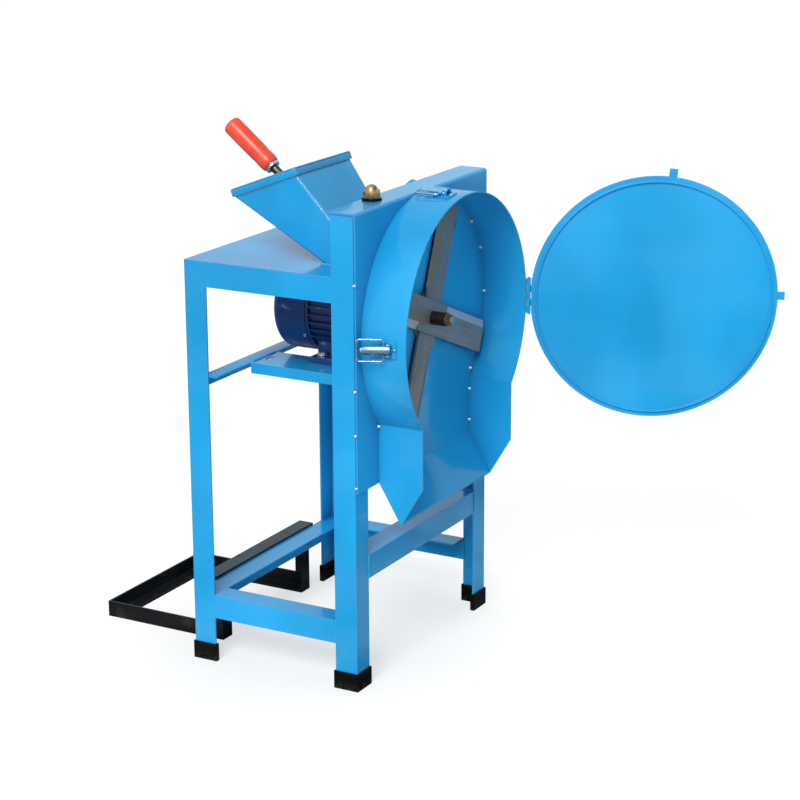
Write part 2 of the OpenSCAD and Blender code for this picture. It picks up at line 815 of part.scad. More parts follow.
module hinge_drum_leaf() placed() color(navy) difference() {
    union() {
        intersection() {
            on_shaft(-drum_depth - lid_gap, leaf_reach - drum_depth) ring(drum_r + leaf_t, drum_r);
            translate([drum_x, -drum_depth - e, drum_z - hinge_h / 2]) cube([2 * drum_r, drum_depth, hinge_h]);
        }
        knuckle_spans(0) {
            translate([hinge_x, hinge_y]) circle(knuckle_r);
            translate([hinge_x - knuckle_r + gap, hinge_y]) square([knuckle_r, -drum_depth - leaf_gap - hinge_y]);
        }
    }
    pin_bore();
}

module hinge_lid_leaf() placed() color(navy) opened() difference() {
    union() {
        translate([hinge_x - leaf_reach, lid_out_y - leaf_t, drum_z - hinge_h / 2])
            cube([notch_x - hinge_x + leaf_reach, leaf_t, hinge_h]);
        knuckle_spans(1) {
            translate([hinge_x, hinge_y]) circle(knuckle_r);
            translate([notch_x - e, lid_out_y - leaf_t]) square([hinge_x - notch_x + e, leaf_t]);
        }
    }
    pin_bore();
}

module hinge_pin() placed() color(bright) translate([hinge_x, hinge_y, drum_z]) {
    cylinder(r = hinge_pin_r, h = hinge_h + pin_head_t, center = true);
    for (z = [-hinge_h / 2 - pin_head_t, hinge_h / 2]) translate([0, 0, z]) cylinder(r = pin_head_r, h = pin_head_t);
}

// Draw latches: drawn with x outward, y to the rear and z along the drum's edge
module latch_base() {
    translate([0, saddle_y1, 0]) rotate([90, 0, 0]) linear_extrude(saddle_l) intersection() {
        ring(drum_r + saddle_t, drum_r);
        translate([drum_in, -latch_w / 2]) square([drum_t + 2 * saddle_t, latch_w]);
    }
    for (z = [-ear_z - latch_t, ear_z]) translate([0, 0, z]) linear_extrude(latch_t) {
        translate([drum_r + saddle_t / 2, -lever_pin_y - ear_r]) square([latch_lift - saddle_t / 2, 2 * ear_r]);
        translate([pin_x, -lever_pin_y]) circle(ear_r);
    }
    translate([pin_x, -lever_pin_y, 0]) cylinder(r = latch_pin_r, h = 2 * (ear_z + latch_t + e), center = true);
}

module lever_side() difference() {
    union() {
        translate([pin_x, -lever_pin_y]) circle(lever_nose_r);
        translate([pin_x - lever_in, -lever_pin_y]) square([lever_over + lever_in, lever_pin_y + lever_side_y]);
    }
    translate([pin_x, -lever_pin_y]) circle(latch_pin_r + run);
    translate([pin_x, bail_y]) circle(wire_r + run);
}

module latch_lever() {
    for (z = [-lever_w / 2, lever_w / 2 - latch_t]) translate([0, 0, z]) linear_extrude(latch_t) lever_side();
    translate([0, 0, -lever_w / 2]) linear_extrude(lever_w) polygon([
        [lever_top - latch_t, -lever_pin_y],
        [lever_top, -lever_pin_y],
        [lever_top, lever_end + thumb_y[0]],
        [lever_top + thumb_rise, lever_end + thumb_y[1]],
        [lever_top + thumb_rise - latch_t, lever_end + thumb_y[1]],
        [lever_top - latch_t, lever_end + thumb_y[0]]
    ]);
}

module latch_bail() {
    for (z = [-1, 1]) {
        translate([pin_x, bail_y, z > 0 ? lever_w / 2 - latch_t - bail_grip : -bail_w / 2])
            cylinder(r = wire_r, h = bail_w / 2 - lever_w / 2 + latch_t + bail_grip);
        translate([pin_x, bail_y, z * bail_w / 2]) rotate([-90, 0, 0]) cylinder(r = wire_r, h = bail_l);
        for (y = [bail_y, bail_y + bail_l]) translate([pin_x, y, z * bail_w / 2]) sphere(r = wire_r);
    }
    translate([pin_x, bail_y + bail_l, 0]) cylinder(r = wire_r, h = bail_w, center = true);
}

// Swings a lever and its bail outward about the lever's pin
module swung() translate([pin_x, -lever_pin_y, 0]) rotate([0, 0, -latch_swing]) translate([-pin_x, lever_pin_y, 0]) children();

module latch_left_base() placed() color(steel) round_drum(latch_left_a) latch_base();
module latch_left_lever() placed() color(bright) round_drum(latch_left_a) swung() latch_lever();
module latch_left_bail() placed() color(bright) round_drum(latch_left_a) swung() latch_bail();
module latch_top_base() placed() color(steel) round_drum(latch_top_a) latch_base();
module latch_top_lever() placed() color(bright) round_drum(latch_top_a) latch_lever();
module latch_top_bail() placed() color(bright) round_drum(latch_top_a) latch_bail();

// Motor
module motor_frame() placed() color(navy) difference() {
    union() {
        on_shaft(shield_y1, frame_y1) {
            circle(body_r);
            for (i = [0:fin_places - 1]) rotate(i * 360 / fin_places)
                if (!in_foot(i * 360 / fin_places))
                    translate([body_r - fin_root, -fin_t / 2]) square([fin_r - body_r + fin_root, fin_t]);
        }
        for (side = [-1, 1]) {
            translate([drum_x + side * foot_half - foot_w / 2, foot_y + foot_pitch / 2 - foot_l / 2, foot_z])
                cube([foot_w, foot_l, foot_t]);
            translate([drum_x + side * (foot_half - web_in) - web_w / 2, foot_y + (foot_pitch - foot_l) / 2, foot_z + foot_t - e])
                cube([web_w, foot_l, web_h]);
        }
    }
    on_shaft(shield_y1 - e, frame_y1 + e) circle(stator_out);
    at_foot_bolts() translate([0, 0, -e]) cylinder(r = bolt_hole_r, h = foot_t + 2 * e);
}

module motor_front_shield() placed() color(navy) difference() {
    union() {
        on_shaft(motor_y, motor_y + boss_l + e) circle(boss_r);
        on_shaft(motor_y + boss_l, shield_y1) circle(shield_r);
    }
    on_shaft(motor_y - e, bearing_front_y + e) circle(bearing_bore + shaft_gap);
    on_shaft(bearing_front_y, shield_y1 + e) circle(bearing_r + seat);
    on_shaft(bearing_front_y + shield_wall, shield_y1 + e) ring(shield_r - shield_rim, bearing_r + bearing_wall);
}

module motor_rear_shield() placed() color(navy) difference() {
    union() {
        on_shaft(frame_y1, rear_shield_y1) circle(body_r);
        on_shaft(frame_y1, frame_y1 + shield_lip) circle(fin_r - fin_root);
        on_shaft(cowl_y0, cowl_y0 + spigot_l) circle(cowl_r - cowl_t - seat);
    }
    on_shaft(frame_y1 - e, bearing_rear_y + bearing_l) circle(bearing_r + seat);
    on_shaft(frame_y1 - e, rear_shield_y1 + e) circle(bearing_bore + shaft_gap);
    on_shaft(frame_y1 - e, rear_shield_y1 - shield_wall) ring(shield_r - shield_rim, bearing_r + bearing_wall);
}

// Cowl with a rounded back edge and a grille of ring slots
module cowl_half(r, round) {
    square([r - round, cowl_y - cowl_y0 + r - cowl_r]);
    square([r, cowl_y - cowl_y0 - round + r - cowl_r]);
    translate([r - round, cowl_y - cowl_y0 - round + r - cowl_r]) intersection() {
        circle(round);
        square([round, round]);
    }
}

module fan_cowl() placed() color(navy) difference() {
    translate([drum_x, cowl_y0, drum_z]) rotate([-90, 0, 0]) rotate_extrude() cowl_half(cowl_r, cowl_round);
    translate([drum_x, cowl_y0 - seat, drum_z]) rotate([-90, 0, 0])
        rotate_extrude() cowl_half(cowl_r - cowl_t, cowl_round - cowl_t);
    on_shaft(cowl_y - 2 * cowl_t, cowl_y + e) difference() {
        for (r = [grille_r[0]:grille_pitch:grille_r[1]]) ring(r + grille_slot, r);
        for (a = [45, 135]) rotate(a) square([2 * cowl_r, grille_spoke], center = true);
    }
}

module motor_fan() placed() color(black) difference() {
    union() {
        on_shaft(fan_y[0], fan_y[1]) circle(fan_hub_r);
        on_shaft(fan_y[0], fan_y[0] + fan_sheet) circle(fan_r - fan_disc_in);
        on_shaft(fan_y[0], fan_y[1]) for (i = [0:fan_blades - 1]) rotate(i * 360 / fan_blades)
            translate([fan_hub_r - e, -fan_sheet / 2]) square([fan_r - fan_hub_r + e, fan_sheet]);
    }
    on_shaft(fan_y[0] - e, fan_y[1] + e) circle(fan_shaft_r + run);
}

module stator_core() placed() color(steel) on_shaft(stator_y[0], stator_y[1])
    ring(stator_out - seat, stator_in);

module stator_winding() placed() color("#a8521e") {
    on_shaft(stator_y[0] - winding_l, stator_y[0]) ring(stator_out - winding_in, stator_in + winding_in);
    on_shaft(stator_y[1], stator_y[1] + winding_l) ring(stator_out - winding_in, stator_in + winding_in);
}

module rotor_core() placed() color(steel) on_shaft(stator_y[0], stator_y[1])
    ring(stator_in - air_gap, core_r + run);

module motor_shaft() placed() color(bright) {
    on_shaft(nut_y - nut_l - stub_over, nut_y + e) circle(stub_r);
    on_shaft(nut_y, bearing_front_y - shoulder) circle(shaft_r);
    on_shaft(bearing_front_y - shoulder, bearing_front_y + bearing_l + shoulder) circle(bearing_bore - run);
    on_shaft(bearing_front_y + bearing_l + shoulder, bearing_rear_y - shoulder) circle(core_r);
    on_shaft(bearing_rear_y - shoulder, fan_y[0]) circle(bearing_bore - run);
    on_shaft(fan_y[0], fan_y[1] + stub_over) circle(fan_shaft_r);
}

module bearing(y) difference() {
    on_shaft(y, y + bearing_l) ring(bearing_r, bearing_bore);
    on_shaft(y - e, y + race_step) ring(bearing_r - race_t, bearing_bore + race_t);
    on_shaft(y + bearing_l - race_step, y + bearing_l + e) ring(bearing_r - race_t, bearing_bore + race_t);
}

module bearing_front() placed() color(bright) bearing(bearing_front_y);
module bearing_rear() placed() color(bright) bearing(bearing_rear_y);

module terminal_box() placed() color(navy) difference() {
    translate([drum_x + box_x[0], box_y[0], drum_z - box_h / 2]) cube([box_x[1] - box_x[0], box_y[1] - box_y[0], box_h]);
    on_shaft(box_y[0] - e, box_y[1] + e) circle(fin_r + run);
    translate([drum_x + fin_r + box_saddle, box_y[0] + box_wall, drum_z - box_h / 2 + box_wall])
        cube([box_x[1] - fin_r - box_saddle - box_wall, box_y[1] - box_y[0] - 2 * box_wall, box_h - 2 * box_wall]);
    gland_line(box_y[1] - box_saddle) cylinder(r = gland_r + 1, h = box_saddle + e);
}

// Places its children on the gland's line, z to the rear
module gland_line(y) translate([gland_x, y, drum_z]) rotate([-90, 0, 0]) children();

module cable_gland() placed() color(black) difference() {
    gland_line(box_y[1]) {
        linear_extrude(gland_hex_l) hexagon(gland_af);
        cylinder(r = gland_cap_r, h = gland_cap_l);
        translate([0, 0, gland_cap_l]) cylinder(r1 = gland_cap_r, r2 = gland_nose_r, h = gland_nose_l);
    }
    gland_line(box_y[1] - e) cylinder(r = gland_r, h = gland_cap_l + gland_nose_l + 2 * e);
}

// A hex bolt with its nut: the head on z = 0, the nut grip_l below it
module hex_bolt(grip) {
    linear_extrude(bolt_head) hexagon(bolt_af);
    translate([0, 0, -grip - nut_h - bolt_over]) cylinder(r = bolt_r, h = grip + nut_h + bolt_over + e);
    translate([0, 0, -grip - nut_h]) linear_extrude(nut_h) hexagon(bolt_af);
}

module hex_bolts() placed() color(bright) {
    at_foot_bolts() translate([0, 0, foot_t]) hex_bolt(foot_t + rail_t);
    at_bracket_bolts() translate([0, bracket_t, 0]) rotate([-90, 0, 0]) hex_bolt(bracket_t + angle_t);
}

// Cutter
module blade(a, y) translate([drum_x, y, drum_z]) rotate([90, 0, 0]) rotate(a) difference() {
    linear_extrude(blade_t) difference() {
        square([2 * blade_l, blade_w], center = true);
        circle(shaft_r + run);
    }
    for (turn = [0, 180]) rotate(turn) translate([hub_r, 0, 0]) rotate([90, 0, 90]) linear_extrude(blade_l) polygon([
        [blade_w / 2 - bevel_w, blade_t],
        [blade_w / 2, bevel_edge],
        [blade_w / 2 + e, bevel_edge],
        [blade_w / 2 + e, blade_t + e],
        [blade_w / 2 - bevel_w, blade_t + e]
    ]);
}

module blade_front() placed() color(steel) blade(blade_a, front_blade_y);
module blade_rear() placed() color(steel) blade(blade_a + blade_turn, rear_blade_y);

module blade_hub() placed() color(steel) difference() {
    union() {
        on_shaft(rear_blade_y, -hub_gap) circle(hub_r);
        on_shaft(-hub_gap - e, hub_boss_l) circle(hub_boss_r);
    }
    on_shaft(rear_blade_y - e, hub_boss_l + e) circle(shaft_r + run);
}

module clamp_collar() placed() color(black) on_shaft(nut_y, collar_y) ring(collar_r, shaft_r + run);

module shaft_nut() placed() color(brass) on_shaft(nut_y - nut_l, nut_y) difference() {
    hexagon(nut_af);
    circle(stub_r + run);
}

// Pusher
module pusher_grip() placed() color("#f0604c") difference() {
    along_pusher(0) {
        translate([0, 0, grip_round]) cylinder(r = grip_r, h = grip_l - grip_round);
        cylinder(r1 = grip_r - grip_round, r2 = grip_r, h = grip_round);
    }
    along_pusher(grip_l - rod_in_grip) cylinder(r = rod_r + run, h = rod_in_grip + e);
}

module pusher_ferrule() placed() color(bright) along_pusher(grip_l) difference() {
    cylinder(r = grip_r - ferrule_in, h = ferrule_l);
    translate([0, 0, -e]) cylinder(r = rod_r + run, h = ferrule_l + 2 * e);
}

module pusher_rod() placed() color(black) along_pusher(grip_l - rod_in_grip) cylinder(r = rod_r, h = rod_in_grip + rod_l);

module pusher_head() placed() color(black) difference() {
    translate([pusher_x - head_w / 2, head_y, floor_at(head_y) + gap / cos(floor_a)]) rotate([floor_a, 0, 0])
        translate([0, -head_l / 2, 0]) cube([head_w, head_l, head_h]);
    along_pusher(grip_l - rod_in_grip) cylinder(r = rod_r + run, h = rod_in_grip + rod_l + run);
}

leg_front_left();
leg_front_right();
leg_rear_left();
leg_rear_right();
top_rail_left();
top_rail_right();
top_rail_rear();
bottom_rail_left();
bottom_rail_right();
bottom_rail_rear();
bottom_rail_front();
cross_rail();
motor_rail_left();
motor_rail_right();
rubber_feet();
bracket_frame();
front_panel();
table_top();
feed_hopper();
small_inlet();
flange_nut();
flange_washer();
drum_ring();
chute_left();
chute_right();
chute_deflector();
lid();
lid_catches();
hinge_drum_leaf();
hinge_lid_leaf();
hinge_pin();
latch_left_base();
latch_left_lever();
latch_left_bail();
latch_top_base();
latch_top_lever();
latch_top_bail();
motor_frame();
motor_front_shield();
motor_rear_shield();
fan_cowl();
motor_fan();
stator_core();
stator_winding();
rotor_core();
motor_shaft();
bearing_front();
bearing_rear();
terminal_box();
cable_gland();
hex_bolts();
blade_hub();
blade_front();
blade_rear();
clamp_collar();
shaft_nut();
pusher_grip();
pusher_ferrule();
pusher_rod();
pusher_head();
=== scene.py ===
"""Dresses a packed grass shredder: paint, welds, latches, lid, fastenings, pusher's grip and studio."""

import json
import math

import bmesh
import bpy
from mathutils import Matrix, Vector


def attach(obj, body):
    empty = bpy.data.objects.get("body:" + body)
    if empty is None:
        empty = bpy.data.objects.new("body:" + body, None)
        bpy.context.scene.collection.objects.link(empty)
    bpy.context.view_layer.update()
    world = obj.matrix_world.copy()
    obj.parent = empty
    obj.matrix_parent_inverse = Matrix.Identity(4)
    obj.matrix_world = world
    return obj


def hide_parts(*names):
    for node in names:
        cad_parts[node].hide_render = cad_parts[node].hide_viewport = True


bl_info = {
    "name": "Grass shredder",
    "version": (1, 0, 0),
    "blender": (4, 5, 0),
    "location": "3D View > Sidebar > Shredder",
    "description": "Dresses the packed grass shredder with paint, welds, latches and fastenings",
    "category": "Object",
}

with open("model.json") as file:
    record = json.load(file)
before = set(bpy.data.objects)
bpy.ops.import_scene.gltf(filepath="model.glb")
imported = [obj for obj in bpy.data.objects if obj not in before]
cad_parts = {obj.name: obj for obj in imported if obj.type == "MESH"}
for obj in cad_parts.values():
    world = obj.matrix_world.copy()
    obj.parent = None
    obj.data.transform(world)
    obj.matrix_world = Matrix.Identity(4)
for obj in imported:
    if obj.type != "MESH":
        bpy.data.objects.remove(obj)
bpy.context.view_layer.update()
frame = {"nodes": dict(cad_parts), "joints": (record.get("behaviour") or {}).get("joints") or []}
NODES = frame["nodes"]
JOINTS = {joint["name"]: joint for joint in frame["joints"]}

MM = 0.001
# The shaft's line where it passes the panel's front face, in the frame's metres
SHAFT = Vector(JOINTS["rotor_spin"]["pos_m"])
# How far that line lies to the right of the stand's middle and above the floor, in millimetres
SHAFT_X = 5.5
SHAFT_Z = SHAFT.z / MM
# The lid's hinge in the frame's metres, and how many degrees the lid stands open at rest
HINGE = Vector(JOINTS["lid_hinge"]["pos_m"])
LID_OPEN = -JOINTS["lid_hinge"]["range_deg"][0]

# Where beads, tacks and pieces lie, in millimetres off the stand's middle, the panel's face and the floor
LEG_WALL = 221.4
LEG_EDGE = 185
REAR_FACE = 316.3
PANEL_EDGE = 222.6
DRUM_FLOOR = -1.2
MOTOR_RAIL_TOP = 495.8
TABLE_TOP = 685.3
PANEL_TOP = 787
LID_FACE = -81.8
FOOT_BOLT_X = 62.5
FOOT_BOLT_ROWS = (61, 161)
# A latch's pin, in millimetres outward from the shaft's line and off the panel's face
LATCH_PIN = (218, -51)
# The cross rail's size and middle
CROSS_RAIL = (444, 29, 20)
CROSS_MIDDLE = (0, 274.5, 485.6)

# Colours that aren't a user's to set: blue painted shade in corners, a painted highlight on folds, painted
# reflection in pale clouds and streaks, edges both worn and given a painted highlight, painted shade in the
# motor's gaps, and stains
SHADE_BLUE = (0.004, 0.09, 0.25)
FOLD_HIGHLIGHT = (0.42, 0.72, 0.92)
REFLECTION_BLUE = (0.1, 0.5, 0.85)
WEAR_AND_HIGHLIGHT_BLUE = (0.6, 0.8, 1.0)
PRIMER = (0.34, 0.38, 0.46)
NAVY_SHADE = (0.001, 0.003, 0.008)
WORN_NAVY = (0.14, 0.23, 0.36)
WORN_BLACK = (0.07, 0.08, 0.1)
OIL_STAIN = (0.15, 0.12, 0.1)
GROUND_EDGE = (0.7, 0.72, 0.75)
TARNISH = (0.03, 0.025, 0.02)

# The light's way, its width in degrees, its colour and the sky's
SUN_WAY = (0.77, 0.16, -0.66)
SUN_WIDTH = 28
SUN_COLOUR = (1.0, 0.985, 0.92)
SKY_TINT = (0.7, 0.88, 1)
# Pixels across the photo, and how far the camera is shifted in them
PICTURE = 800
SHIFT_RIGHT = -2.6
SHIFT_UP = 1.2

FINISHES = {}


def at(x, y, z):
    """A point in metres, from millimetres off the stand's middle, the panel's face and the floor."""
    return Vector((SHAFT.x + (x - SHAFT_X) * MM, SHAFT.y + y * MM, z * MM))


def round_shaft(angle):
    """The place of a piece drawn with x outward from the shaft's line, y to the rear and z round the drum."""
    return Matrix.Translation(SHAFT) @ Matrix.Rotation(-math.radians(angle), 4, "Y")


def opened(matrix):
    """The place on the open lid of what is given on the closed one."""
    swing = Matrix.Rotation(math.radians(LID_OPEN), 4, "Z")
    return Matrix.Translation(HINGE) @ swing @ Matrix.Translation(-HINGE) @ matrix


def facing(point, normal, along=None):
    """A place at a point, with z along the normal and, where given, x along a direction."""
    z = Vector(normal).normalized()
    x = Vector(along) if along else z.orthogonal()
    y = z.cross(x).normalized()
    x = y.cross(z)
    return Matrix.Translation(point) @ Matrix((x, y, z)).transposed().to_4x4()


# Handling pieces


def deselect():
    bpy.ops.object.select_all(action="DESELECT")


def hold(*pieces):
    """Selects only these pieces, the first of them active."""
    deselect()
    for piece in pieces:
        piece.select_set(True)
    bpy.context.view_layer.objects.active = pieces[0]


def added(operator, **settings):
    """The piece that a primitive's operator adds, with its turn and size applied."""
    deselect()
    operator(**settings)
    bpy.ops.object.transform_apply(location=True, rotation=True, scale=True)
    return bpy.context.object


def modified(piece, kind, **settings):
    """Adds one modifier with these settings to a piece and applies it."""
    hold(piece)
    modifier = piece.modifiers.new(kind.title(), kind)
    for setting, value in settings.items():
        setattr(modifier, setting, value)
    bpy.ops.object.modifier_apply(modifier=modifier.name)
    return piece


def copied(piece, matrix):
    """A copy of a piece with its own mesh, moved there."""
    hold(piece)
    bpy.ops.object.duplicate(linked=False)
    copy = bpy.context.object
    copy.data.transform(matrix)
    return copy


def copies(piece, matrices):
    """Copies of a piece at these places, joined into one, without the first."""
    made = [copied(piece, matrix) for matrix in matrices]
    bpy.data.objects.remove(piece)
    return joined(made)


def joined(pieces):
    hold(*pieces)
    if len(pieces) > 1:
        bpy.ops.object.join()
    return bpy.context.object


def moved(piece, matrix):
    piece.data.transform(matrix)
    return piece


def finished(piece, name, body, finish, angle=35):
    """Names, shades and paints a piece whose place is in its mesh, and sets it on its body."""
    hold(piece)
    bpy.ops.object.transform_apply(location=True, rotation=True, scale=True)
    bpy.ops.object.shade_smooth_by_angle(angle=math.radians(angle))
    piece.name = name
    piece.data.name = name
    piece.data.materials.clear()
    piece.data.materials.append(FINISHES[finish])
    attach(piece, body)
    return piece


class Editing:
    """Edit mode on one piece, entered with all of it selected."""

    def __init__(self, piece):
        self.piece = piece

    def __enter__(self):
        hold(self.piece)
        bpy.ops.object.mode_set(mode="EDIT")
        bpy.ops.mesh.select_all(action="SELECT")
        return self

    def __exit__(self, *problem):
        bpy.ops.mesh.select_all(action="SELECT")
        bpy.ops.mesh.normals_make_consistent(inside=False)
        bpy.ops.object.mode_set(mode="OBJECT")

    def pick(self, test):
        """Selects only the vertices whose place passes the test, with what lies between them."""
        mesh = bmesh.from_edit_mesh(self.piece.data)
        for face in mesh.faces:
            face.select = False
        for edge in mesh.edges:
            edge.select = False
        for vertex in mesh.verts:
            vertex.select = bool(test(vertex.co / MM))
        mesh.select_flush(True)
        bmesh.update_edit_mesh(self.piece.data)


def turned(profile, sides=32):
    """A solid of revolution about z, from pairs of height and radius in millimetres."""
    height, radius = profile[0]
    piece = added(
        bpy.ops.mesh.primitive_circle_add,
        vertices=sides,
        radius=radius * MM,
        fill_type="NGON",
        location=(0, 0, height * MM),
    )
    with Editing(piece):
        for top, wide in profile[1:]:
            bpy.ops.mesh.extrude_region_move(TRANSFORM_OT_translate={"value": (0, 0, (top - height) * MM)})
            share = wide / radius
            bpy.ops.transform.resize(value=(share, share, 1), center_override=(0, 0, top * MM))
            height, radius = top, wide
    return piece


def bent_wire(radius, start, turn, route, closed=False, sides=14):
    """A round wire from a start, its end face turned, through runs and (centre, axis, angle) bends.

    The operator that makes a bend turns the other way, so its angle is given with the sign changed.
    """
    piece = added(
        bpy.ops.mesh.primitive_circle_add,
        vertices=sides,
        radius=radius * MM,
        fill_type="NOTHING",
        location=Vector(start) * MM,
        rotation=[math.radians(angle) for angle in turn],
    )
    with Editing(piece):
        for step in route:
            if len(step) == 1:
                bpy.ops.mesh.extrude_region_move(TRANSFORM_OT_translate={"value": Vector(step[0]) * MM})
            else:
                centre, axis, angle = step
                bpy.ops.mesh.spin(steps=7, angle=-math.radians(angle), center=Vector(centre) * MM, axis=axis)
        if not closed:
            bpy.ops.mesh.edge_face_add()
            bpy.ops.mesh.select_all(action="DESELECT")
            bpy.ops.mesh.select_non_manifold()
            bpy.ops.mesh.edge_face_add()
        bpy.ops.mesh.select_all(action="SELECT")
        bpy.ops.mesh.remove_doubles(threshold=0.01 * MM)
    return piece


def block(size, bevel, segments=3):
    """A box about the origin with rounded edges, in millimetres."""
    piece = added(bpy.ops.mesh.primitive_cube_add, size=1, scale=Vector(size) * MM)
    return modified(piece, "BEVEL", width=bevel * MM, segments=segments, limit_method="NONE")


# Materials


class Value:
    """One output of a tree's nodes. Sums written with it add Math nodes."""

    def __init__(self, nodes, socket):
        self.nodes = nodes
        self.socket = socket

    def __add__(self, other):
        return self.nodes.maths("ADD", self, other)

    __radd__ = __add__

    def __sub__(self, other):
        return self.nodes.maths("SUBTRACT", self, other)

    def __rsub__(self, other):
        return self.nodes.maths("SUBTRACT", other, self)

    def __mul__(self, other):
        return self.nodes.maths("MULTIPLY", self, other)

    __rmul__ = __mul__


class Nodes:
    """A node tree in the making, and the node in it that the others feed."""

    def __init__(self, tree, fed):
        self.tree = tree
        self.fed = tree.nodes[fed]

    def node(self, kind, settings, sockets, output=0):
        """Adds a node, sets it, fills or links its sockets and returns one of its outputs."""
        made = self.tree.nodes.new(kind)
        for setting, value in settings.items():
            setattr(made, setting, value)
        for socket, value in sockets.items():
            if isinstance(value, Value):
                self.tree.links.new(value.socket, made.inputs[socket])
            else:
                made.inputs[socket].default_value = value
        return Value(self, made.outputs[output])

    def maths(self, operation, first, second):
        return self.node("ShaderNodeMath", {"operation": operation}, {0: first, 1: second})

    def ray(self, kind):
        """1 for rays of a kind, such as Camera or Glossy, and 0 for others."""
        return self.node("ShaderNodeLightPath", {}, {}, f"Is {kind} Ray")

    def span(self, value, low, high):
        """How far a value has come from low to high, kept between 0 and 1."""
        return self.node("ShaderNodeMapRange", {}, {"Value": value, "From Min": low, "From Max": high})

    def mix(self, first, second, share):
        """A colour between two, each a colour or an output."""
        full = [colour if isinstance(colour, Value) else (*colour, 1.0) for colour in (first, second)]
        return self.node("ShaderNodeMix", {"data_type": "RGBA"}, {0: share, 6: full[0], 7: full[1]}, 2)

    def feed(self, **links):
        """Links values to the fed node's sockets, each named with _ for a space."""
        for socket, value in links.items():
            self.tree.links.new(value.socket, self.fed.inputs[socket.replace("_", " ")])


class Finish(Nodes):
    """A material in the making: the Principled shader with its even values, and the nodes that feed it."""

    def __init__(self, name, **even):
        self.material = bpy.data.materials.new(name)
        self.material.use_nodes = True
        super().__init__(self.material.node_tree, "Principled BSDF")
        for socket, value in even.items():
            self.fed.inputs[socket.replace("_", " ")].default_value = value
        self.place = self.node("ShaderNodeTexCoord", {}, {}, "Object")
        FINISHES[name] = self.material

    def noise(self, scale, detail=3.0, stretch=(1, 1, 1), turn=(0, 0, 0)):
        """Noise on the piece's own coordinates, drawn out by stretch along turned axes."""
        place = self.node(
            "ShaderNodeMapping",
            {"vector_type": "TEXTURE"},
            {"Vector": self.place, "Rotation": turn, "Scale": stretch},
        )
        return self.node("ShaderNodeTexNoise", {}, {"Vector": place, "Scale": scale, "Detail": detail}, "Fac")

    def from_point(self, point, reach):
        """Distance from a point, as a share of the reach along each axis."""
        place = self.node(
            "ShaderNodeMapping",
            {"vector_type": "TEXTURE"},
            {"Vector": self.place, "Location": point, "Scale": reach},
        )
        return self.node("ShaderNodeVectorMath", {"operation": "LENGTH"}, {0: place}, "Value")

    def height(self):
        """Height above the floor in metres."""
        return self.node("ShaderNodeSeparateXYZ", {}, {"Vector": self.place}, "Z")

    def rounded(self, radius):
        """The normal with its edges rounded by a radius in millimetres."""
        return self.node("ShaderNodeBevel", {"samples": 6}, {"Radius": radius * MM}, "Normal")

    def edges(self, rounded, gain):
        """How near an edge is, from how far its rounded normal leans from the true one."""
        true = self.node("ShaderNodeNewGeometry", {}, {}, "Normal")
        lean = self.node("ShaderNodeVectorMath", {"operation": "DOT_PRODUCT"}, {0: rounded, 1: true}, "Value")
        return self.span((1 - lean) * gain, 0.0, 1.0)

    def closed_in(self, distance):
        """How far nearby faces close a place in, within a distance in millimetres."""
        return 1 - self.node("ShaderNodeAmbientOcclusion", {"samples": 8}, {"Distance": distance * MM}, "AO")

    def bump(self, height, depth, normal=None):
        """A bump of that height, its full depth in millimetres."""
        sockets = {"Height": height, "Distance": depth * MM}
        if normal:
            sockets["Normal"] = normal
        return self.node("ShaderNodeBump", {}, sockets, "Normal")


def shaded(colour, factor):
    """A colour made lighter or darker."""
    return tuple(min(1.0, channel * factor) for channel in colour)


def blended(first, second, share):
    """A colour between two."""
    return tuple(a + (b - a) * share for a, b in zip(first, second))


def grey(level):
    return (level, level, level)


def sprayed_paint(name, paint, wave_and_reflection, fold=0):
    """Gloss spray paint on steel: soft clouds and streaks of painted reflection, orange peel, pale edges that
    are partly worn and partly painted highlight, painted shade in corners, and floor dust.

    One value sets both how wavy its sheet is and how strong its painted reflection streaks are; its folds are
    rounded, with a painted highlight, where a fold's radius is given.
    """
    colour = tuple(paint.blue)
    finish = Finish(name, Coat_Weight=paint.coat, Coat_Roughness=0.06, IOR=1.45, Specular_IOR_Level=0.14)
    # Painted reflection: soft clouds and streaks of lighter and darker blue stand in for what the gloss
    # mirrors
    clouds = finish.span(finish.noise(5.0, 2.0, (1, 1, 1.6)), 0.36, 0.66)
    streaks = finish.span(finish.noise(5.0, 2.0, (0.9, 0.9, 1.7)), 0.42, 0.7)
    base = finish.mix(shaded(colour, 0.86), shaded(colour, 1.1), clouds)
    base = finish.mix(base, blended(colour, REFLECTION_BLUE, 0.5), streaks * wave_and_reflection)
    # Painted shade: the blue deepens where nearby faces close a place in
    base = finish.mix(base, SHADE_BLUE, finish.span(finish.closed_in(90), 0.35, 0.95))
    rounded = finish.rounded(paint.edge_radius)
    # Pale edges: partly worn paint, partly a painted highlight
    edges = finish.edges(rounded, 2.2)
    base = finish.mix(base, blended(colour, WEAR_AND_HIGHLIGHT_BLUE, 0.6), edges * 0.5)
    dust = finish.span(finish.height(), 0.09, 0.01) * finish.span(finish.noise(38.0, 5.0), 0.45, 0.75)
    base = finish.mix(base, tuple(paint.dust), dust * 0.35)
    roughness = finish.noise(24.0, 4.0) * 0.16 + 0.16 + dust * 0.35
    folded = rounded
    if fold:
        folded = finish.rounded(fold)
        # Painted highlight: the rounded folds are made pale
        base = finish.mix(base, FOLD_HIGHLIGHT, finish.edges(folded, 1.6) * 0.55)
    peel = finish.bump(finish.noise(420.0, 2.0), 0.05, folded)
    waves = finish.bump(finish.noise(6.0, 1.0), 1.6 * wave_and_reflection + 0.2, peel)
    finish.feed(Base_Color=base, Roughness=roughness, Normal=waves)


